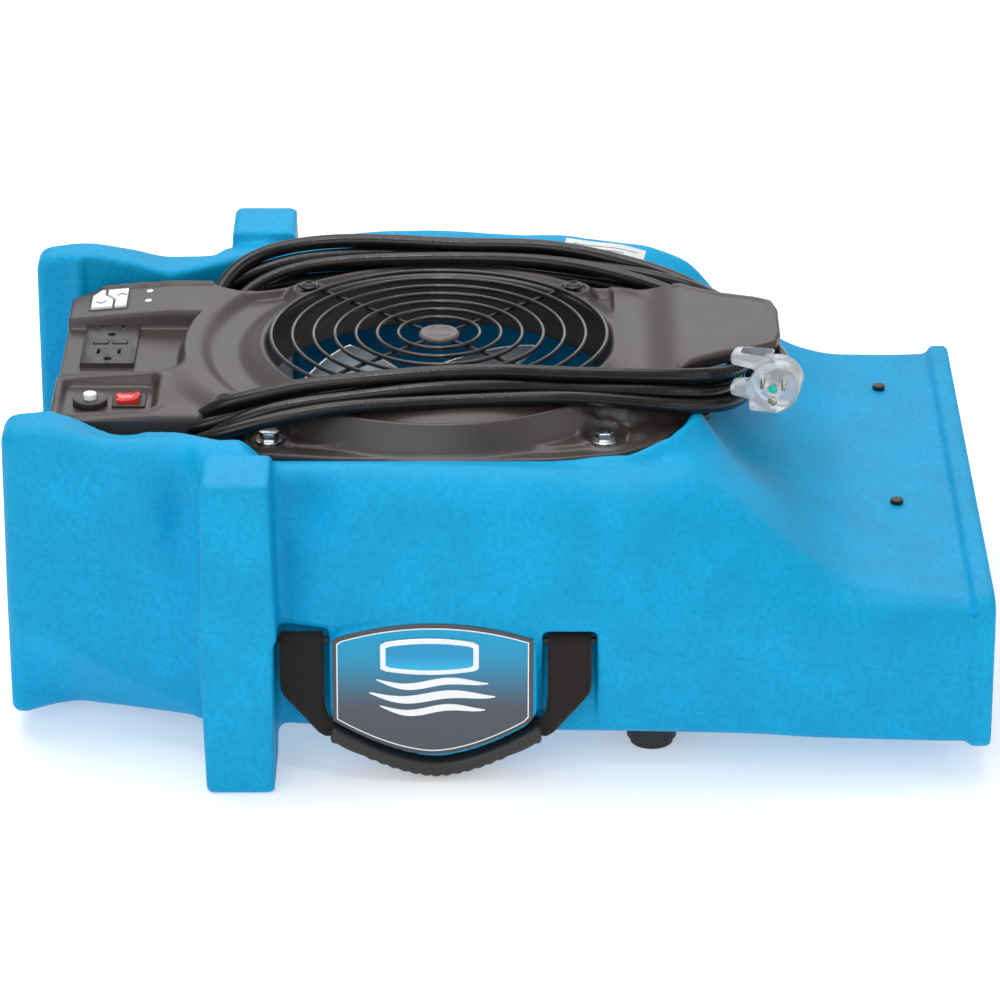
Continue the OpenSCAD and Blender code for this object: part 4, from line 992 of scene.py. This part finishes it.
LEAN = Matrix(((1, 0, 0, 0), (0, 1, 0, 0), (TILT, 0, 1, -TILT * TILT_FROM * MM), (0, 0, 0, 1)))
KEYS_AT = LEAN @ about(0, 89.5, 1, 1.22)
RESHAPED = {
    "key_up": KEYS_AT, "key_down": KEYS_AT, "keypad_frame": KEYS_AT, "indicator_lenses": LEAN,
    "rocker_switch": about(*ROCKER, 1.33, 0.75, 3.3, 5),
    "rocker_frame": about(*ROCKER, 1.15, 0.8, 3.3, 5),
}
for part, (width, mat_name) in EASED.items():
    source = frame["nodes"][part]
    if width:
        piece = detailed(part, part + "_piece", width)
        body = body_of(source)
        body = body if isinstance(body, str) else body[0]
        if part in RESHAPED:
            piece.data.transform(RESHAPED[part])
        finish(piece, body, M[mat_name], [part])
    else:
        smooth_by_angle(source, 40)
        source.data.materials.clear()
        source.data.materials.append(M[mat_name])

# keypad chevrons: plain arrow strokes, one per key
for name, body, cx, cy, flip in (("key_up_mark", "speed_up_key", -236, 78, 1),
                                 ("key_down_mark", "speed_down_key", -248.5, 67, -1)):
    line = [(cx + dx, cy + dy * flip, 201.85) for dx, dy in ((-3.0, -1.6), (0, 1.6), (3.0, -1.6))]
    strokes = [tube("stroke", [line[0], line[1]], 0.45, 8), tube("stroke", [line[1], line[2]], 0.45, 8)]
    mark = join(name, strokes)
    mark.data.transform(LEAN)
    finish(mark, body, M["mark"])

# two small moulded ridges on the rocker
ridges = []
for dx in (-5.5, 4.5):
    line = [(ROCKER[0] + dx, ROCKER[1] + t, 194.6 - 0.02 * dx) for t in (-4, 0, 4)]
    ridges.append(tube("ridge", line, 0.45, 8))
ridge_pair = join("rocker_ridges", ridges)
ridge_pair.data.transform(RESHAPED["rocker_switch"])
finish(ridge_pair, "rocker", M["red"])

# ---- badge

BADGE_X = -37.7


def shield(inset, half=59.2, n=44):
    """Outline of the badge, drawn in from its edge by inset."""
    h = half - inset
    xs = linspace(-h, h, n)
    top = [(BADGE_X + x, 95.4 - inset + 10 * (1 - (x / 59) ** 2)) for x in xs]
    low = [(BADGE_X + x, float(arch_low(x * 0.985, 0)) + inset * 1.05) for x in xs[::-1]]
    cut = 3.2
    top[0] = (top[0][0] + 0.2, top[0][1] - 1.0)
    low[0] = (low[0][0] - 0.2, low[0][1] + cut * 0.4)
    return top + low


finish(slab("badge_border", shield(0.0), -207.3, -205.8, 0.5), "chassis", M["border"],
             ["badge_plate"])
outer, inner = shield(2.5), shield(3.15)
count = len(outer)
verts = [(x, -207.55, z) for x, z in outer] + [(x, -207.55, z) for x, z in inner]
verts += [(x, -207.1, z) for x, z in outer] + [(x, -207.1, z) for x, z in inner]
faces = []
for i in range(count):
    j = (i + 1) % count
    faces.append((i, j, j + count, i + count))
    faces.append((i, i + 2 * count, j + 2 * count, j))
    faces.append((i + count, j + count, j + 3 * count, i + 3 * count))
stripe = obj_from("badge_pinstripe", verts, faces, smooth=False)
finish(stripe, "chassis", M["stripe"])
finish(slab("badge_panel", shield(3.15), -207.5, -206.5, 0.0), "chassis", M["panel"])


def lozenge(half_w, half_h, cut_x, cut_z, bow=1.4, n=9):
    pts = []
    for sign in (1, -1):
        for t in linspace(-1, 1, n):
            pts.append((sign * t * (half_w - cut_x), sign * (half_h - bow * t * t)))
        pts.append((sign * half_w, sign * (half_h - bow - cut_z)))
        pts.append((sign * half_w, -sign * (half_h - bow - cut_z)))
    return [(-39.5 + x, 84.8 + z) for x, z in pts]


finish(slab("emblem_frame", lozenge(29.2, 11.9, 3.4, 1.6, 2.2), -208.7, -207.2, 0.8), "chassis",
             M["silver"], ["badge_emblem"])
finish(slab("emblem_field", lozenge(25.8, 8.7, 2.6, 1.2, 1.8), -208.9, -208.0, 0.25), "chassis",
             M["emblem"])

# a plain airflow mark: three tapering waves
waves = []
for k, (length, thick) in enumerate(((33, 2.3), (37, 2.7), (31, 2.2))):
    z0 = 66.5 - 8.6 * k
    upper, lower = [], []
    for t in linspace(-1, 1, 41):
        x = -38 + length * t
        z = z0 + 2.0 * math.sin(t * math.pi * 1.25 + 0.4) + 2.4 * t * t
        half = thick * (1 - 0.86 * abs(t) ** 2.6)
        upper.append((x, z + half))
        lower.append((x, z - half))
    waves.append(slab("wave", upper + lower[::-1], -207.75, -207.2, 0.0))
finish(join("airflow_mark", waves), "chassis", M["stripe"])

# ---- carrying handle

PIN_Y, PIN_Z = -196.0, 90.0
HALF_WEB = 1.05  # half the webbing's thickness


def strap_piece(side):
    """Webbing looped over its pin, hanging flat, then folded in to the end of the grip."""
    rows = []
    for z in (66, 74, 82):
        rows.append((-192.2, z, 92, 66, z, 0))
    for k in range(9):
        a = math.pi * k / 8
        rows.append((PIN_Y + 4.3 * math.cos(a), PIN_Z + 4.3 * math.sin(a), 92, 66, None, 0))
    rows += [(-200.4, 84, 92, 66, None, 0), (-200.8, 74, 92, 66, None, 0), (-200.9, 64, 92, 66, None, 0),
             (-200.7, 58.5, 92, 66, 58, 0), (-200.3, 53, 88, 65.8, 54, 0.6),
             (-200.0, 46.5, 82.5, 65.4, 49.5, 1.2), (-199.6, 40.5, 77.5, 64.8, 45.5, 1.5),
             (-199.2, 35.5, 73.5, 63.6, 42, 1.4),
             (-198.6, 31.5, 70.5, 61.0, 39, 1.0), (-198.0, 28.8, 67.5, 58.0, 36.5, 0.6),
             (-197.5, 26.5, 63.0, 54.5, 34.5, 0.2)]
    rings = []
    across = 9
    for y, zo, xo, xi, zi, puff in rows:
        zi = zo if zi is None else zi
        front = []
        for t in linspace(0, 1, across):
            x, z = xo + (xi - xo) * t, zo + (zi - zo) * t
            lift = puff * math.sin(math.pi * t) + 0.25 * puff * math.sin(3 * math.pi * t)
            front.append((FAN_X + side * x, y - lift, z))
        rings.append((front, (y, zo)))
    skin = []
    for i, (front, _) in enumerate(rings):
        before = rings[max(i - 1, 0)][1]
        after = rings[min(i + 1, len(rings) - 1)][1]
        ty, tz = after[0] - before[0], after[1] - before[1]
        size = math.hypot(ty, tz)
        ny, nz = tz / size, -ty / size
        ring = [(x, y + HALF_WEB * ny, z + HALF_WEB * nz) for x, y, z in front]
        ring += [(x, y - HALF_WEB * ny, z - HALF_WEB * nz) for x, y, z in front[::-1]]
        skin.append(ring)
    obj = loft("strap_left" if side < 0 else "strap_right", skin)
    mod = obj.modifiers.new("soft", "SUBSURF")
    mod.levels = mod.render_levels = 1
    apply_modifiers(obj)
    smooth_by_angle(obj, 60)
    return obj


for side in (-1, 1):
    finish(strap_piece(side), "handle", M["webbing"], ["handle_straps"])
    # the folded-back tail behind the hanging part
    tail_rows = []
    for y, z, xo, xi in ((-197.6, 70, 91, 67), (-197.4, 60, 90.6, 66.6), (-197.0, 50, 86, 66),
                         (-196.4, 41, 79, 65), (-195.6, 33, 72, 62), (-195.0, 28, 66, 56)):
        half = (xo + xi) / 2
        tail_rows.append([(FAN_X + side * x, y + dy, z + dz) for x, dy, dz in (
            (xo, -0.9, 0), (half, -1.3, -1), (xi, -0.9, 1), (xi, 0.9, 1), (half, 0.7, -1), (xo, 0.9, 0))])
    finish(loft("strap_tail_%s" % ("left" if side < 0 else "right"), tail_rows), "handle",
                 M["webbing"])

rings = []
GRIP_N = 150
for i in range(GRIP_N + 1):
    x = -62.5 + 125 * i / GRIP_N
    end = min(1.0, (62.5 - abs(x)) / 2.4)
    size = 0.72 + 0.28 * math.sqrt(max(0.0, 1 - (1 - end) ** 2))
    top = float(arch_low(x, 3)) - 2.9
    swell = 1.6 * smooth01((abs(x) - 40) / 14)
    wave = 0.95 * abs(math.cos(math.pi * x / 6.5)) * float(smooth01((43 - abs(x)) / 3))
    low = top - 11.2 + 0.95 - wave * 1.0 - 2.2 * float(smooth01((abs(x) - 36) / 20))
    mid, half = (top + low) / 2, (top - low) / 2
    ring = []
    for j in range(28):
        a = 2 * math.pi * j / 28
        c, s = math.cos(a), math.sin(a)
        py = math.copysign(abs(c) ** 0.5, c) * 9.7 * size
        pz = math.copysign(abs(s) ** 0.6, s) * half * size
        ring.append((FAN_X + x, -196 + py, mid + pz))
    rings.append(ring)
finish(loft("grip_body", rings), "handle", M["grip"], ["handle_grip"])

# ---- plug, gland, tag


def plug_field(x, y, z):
    r = hypot(x, y)
    body = rmax(r - 15, np.abs(z - 13) - 13, 3.5)
    block = rmax(rmax(np.abs(x + 5.5) - 9, np.abs(y - 3.5) - 10.5, 2), np.abs(z - 5) - 5.6, 1.5)
    body = rmin(body, block, 1.5)
    lobe = rmax(hypot(x - 4, y + 4) - 12.5, np.abs(z - 6) - 6.8, 3)
    body = rmin(body, lobe, 1.5)
    waist = hypot(hypot(x, y) - 17.5, z - 17) - 4
    body = rmax(body, -waist, 2)
    for low, high in ((-19, -14), (1, 6)):
        taper = 1.2 + 0.16 * (x + 26)
        across = np.abs(y - (low + high) / 2) - (high - low) / 2 - taper
        arm = rmax(rmax(np.abs(x + 14.5) - 12.5, across, 2.4), np.abs(z - 11) - 6.5, 2.4)
        body = rmin(body, arm, 3.5)
    neck = rmax(r - 7.2 + 0.05 * z - 0.5 * np.cos((z - 27) * 2.1), np.abs(z - 30) - 8, 1.2)
    body = rmin(body, neck, 3)
    for sx in (-6.35, 6.35):
        pad = rmax(rmax(np.abs(x - sx) - 2.2, np.abs(y + 4.4) - 4.6, 0.8), np.abs(z) - 1.2, 0.6)
        body = rmin(body, pad, 0.5)
        body = maximum(body, -maximum(maximum(np.abs(x - sx) - 1.1, np.abs(y + 4.4) - 3.5), z - 12))
    body = maximum(body, -maximum(hypot(x, y - 6.5) - 2.7, z - 12))
    return maximum(body, -maximum(hypot(x, y + 1.5) - 2.8, z - 3.2))


HP = 0.8
plug_skin = surface("plug_shell", plug_field(*grid(-29, 18, -21, 18, -3, 40, HP)), (-29, -21, -3), HP)
place = (Matrix.Translation(PLUG * MM) @ Matrix.Rotation(PLUG_TURN, 4, "Z")
         @ Matrix.Rotation(math.radians(-90), 4, "X"))
plug_skin.data.transform(place)
finish(plug_skin, "chassis", M["clear"], ["plug_body", "plug_clip"])

base = Vector((-222.5, -60, 165))
tip = Vector(GLAND)
steps = [base + (tip - base) * t for t in linspace(0, 1, 9)] + [Vector(p) for p in cord_pts[1:6]]
rings = []
for i, p in enumerate(steps):
    ahead = (steps[min(i + 1, len(steps) - 1)] - steps[max(i - 1, 0)]).normalized()
    side = ahead.cross(Vector((0, 0, 1))).normalized()
    up = side.cross(ahead)
    r = 7.0 - 0.16 * i + (0.35 if i % 2 else -0.25)
    rings.append([tuple(p + (side * math.cos(a) + up * math.sin(a)) * r)
                  for a in linspace(0, 2 * math.pi, 20, endpoint=False)])
boot = loft("gland_boot", rings)
finish(boot, "chassis", M["grip"], ["cord_gland"])

def label_rise(u):
    """The label's gentle curl, at u along it."""
    return 1.5 * math.sin((u + 26) / 52 * math.pi) + 0.6 * math.sin(u / 6)


rings = []
for u in range(-26, 27, 2):
    edge = ((-7, 0), (0, 0.9), (7, 0), (7, 0.7), (0, 1.6), (-7, 0.7))
    rings.append([(u, v, label_rise(u) + lift) for v, lift in edge])
tag = loft("cord_label", rings)
bars = join("label_bars", [
    tube("bar", [(u, v, label_rise(u) + 1.5 - abs(v) * 0.12) for u in range(-21, 14 + 3 * v, 2)], 0.35, 6)
    for v in (-3, 0, 3)])
label_at = (Matrix.Translation(Vector((67, 127, 207.5)) * MM) @ Matrix.Rotation(math.radians(-13), 4, "Z")
            @ Matrix.Rotation(math.radians(4), 4, "Y") @ Matrix.Rotation(math.radians(28), 4, "X"))
tag.data.transform(label_at)
bars.data.transform(label_at)
finish(bars, "chassis", M["mark"])
finish(tag, "chassis", M["tag"], ["cord_tag"])

# ---- stage

floor_mesh = bpy.data.meshes.new("floor")
floor_mesh.from_pydata([(-9, -9, 0), (9, -9, 0), (9, 9, 0), (-9, 9, 0)], [], [(0, 1, 2, 3)])
floor_obj = bpy.data.objects.new("floor", floor_mesh)
SCENE.collection.objects.link(floor_obj)
floor_mat = bpy.data.materials.new("pale_floor")
floor_mat.use_nodes = True
put(floor_mat, principled(floor_mat), {"Base Color": (0.9, 0.9, 0.9, 1), "Roughness": 0.9,
                                       "Emission Color": (1, 1, 1, 1), "Emission Strength": 0.34})
floor_mesh.materials.append(floor_mat)


def lamp(name, kind, at, aim, watts, **settings):
    data = bpy.data.lights.new(name, kind)
    data.energy = watts
    for key, value in settings.items():
        setattr(data, key, value)
    light = bpy.data.objects.new(name, data)
    light.location = at
    light.rotation_euler = (Vector(aim) - Vector(at)).to_track_quat("-Z", "Y").to_euler()
    SCENE.collection.objects.link(light)


for name, at, aim, size, watts in (("key_top", (-0.3, 0.5, 2.4), (0, 0.05, 0.1), (2.2, 1.6), 40),
                                   ("front_fill", (-0.8, -2.6, 1.5), (0, 0, 0.1), (2.4, 1.6), 26),
                                   ("back_sheen", (0.2, 4.2, 2.1), (0, 0, 0.15), (3.4, 1.5), 26),
                                   ("right_fill", (2.2, -1.2, 1.3), (0.1, 0, 0.1), (1.4, 1.4), 7)):
    lamp(name, "AREA", at, aim, watts, shape="RECTANGLE", size=size[0], size_y=size[1])
lamp("throat_spot", "SPOT", (-0.036, -0.75, 2.0), (-0.036, 0.0, 0.12), 95, spot_size=math.radians(9.5),
     spot_blend=0.8, shadow_soft_size=0.2)
world = bpy.data.worlds.new("studio")
world.use_nodes = True
world.node_tree.nodes["Background"].inputs["Color"].default_value = (0.95, 0.97, 1.0, 1)
world.node_tree.nodes["Background"].inputs["Strength"].default_value = 0.48
SCENE.world = world
SCENE.view_settings.view_transform = "Standard"
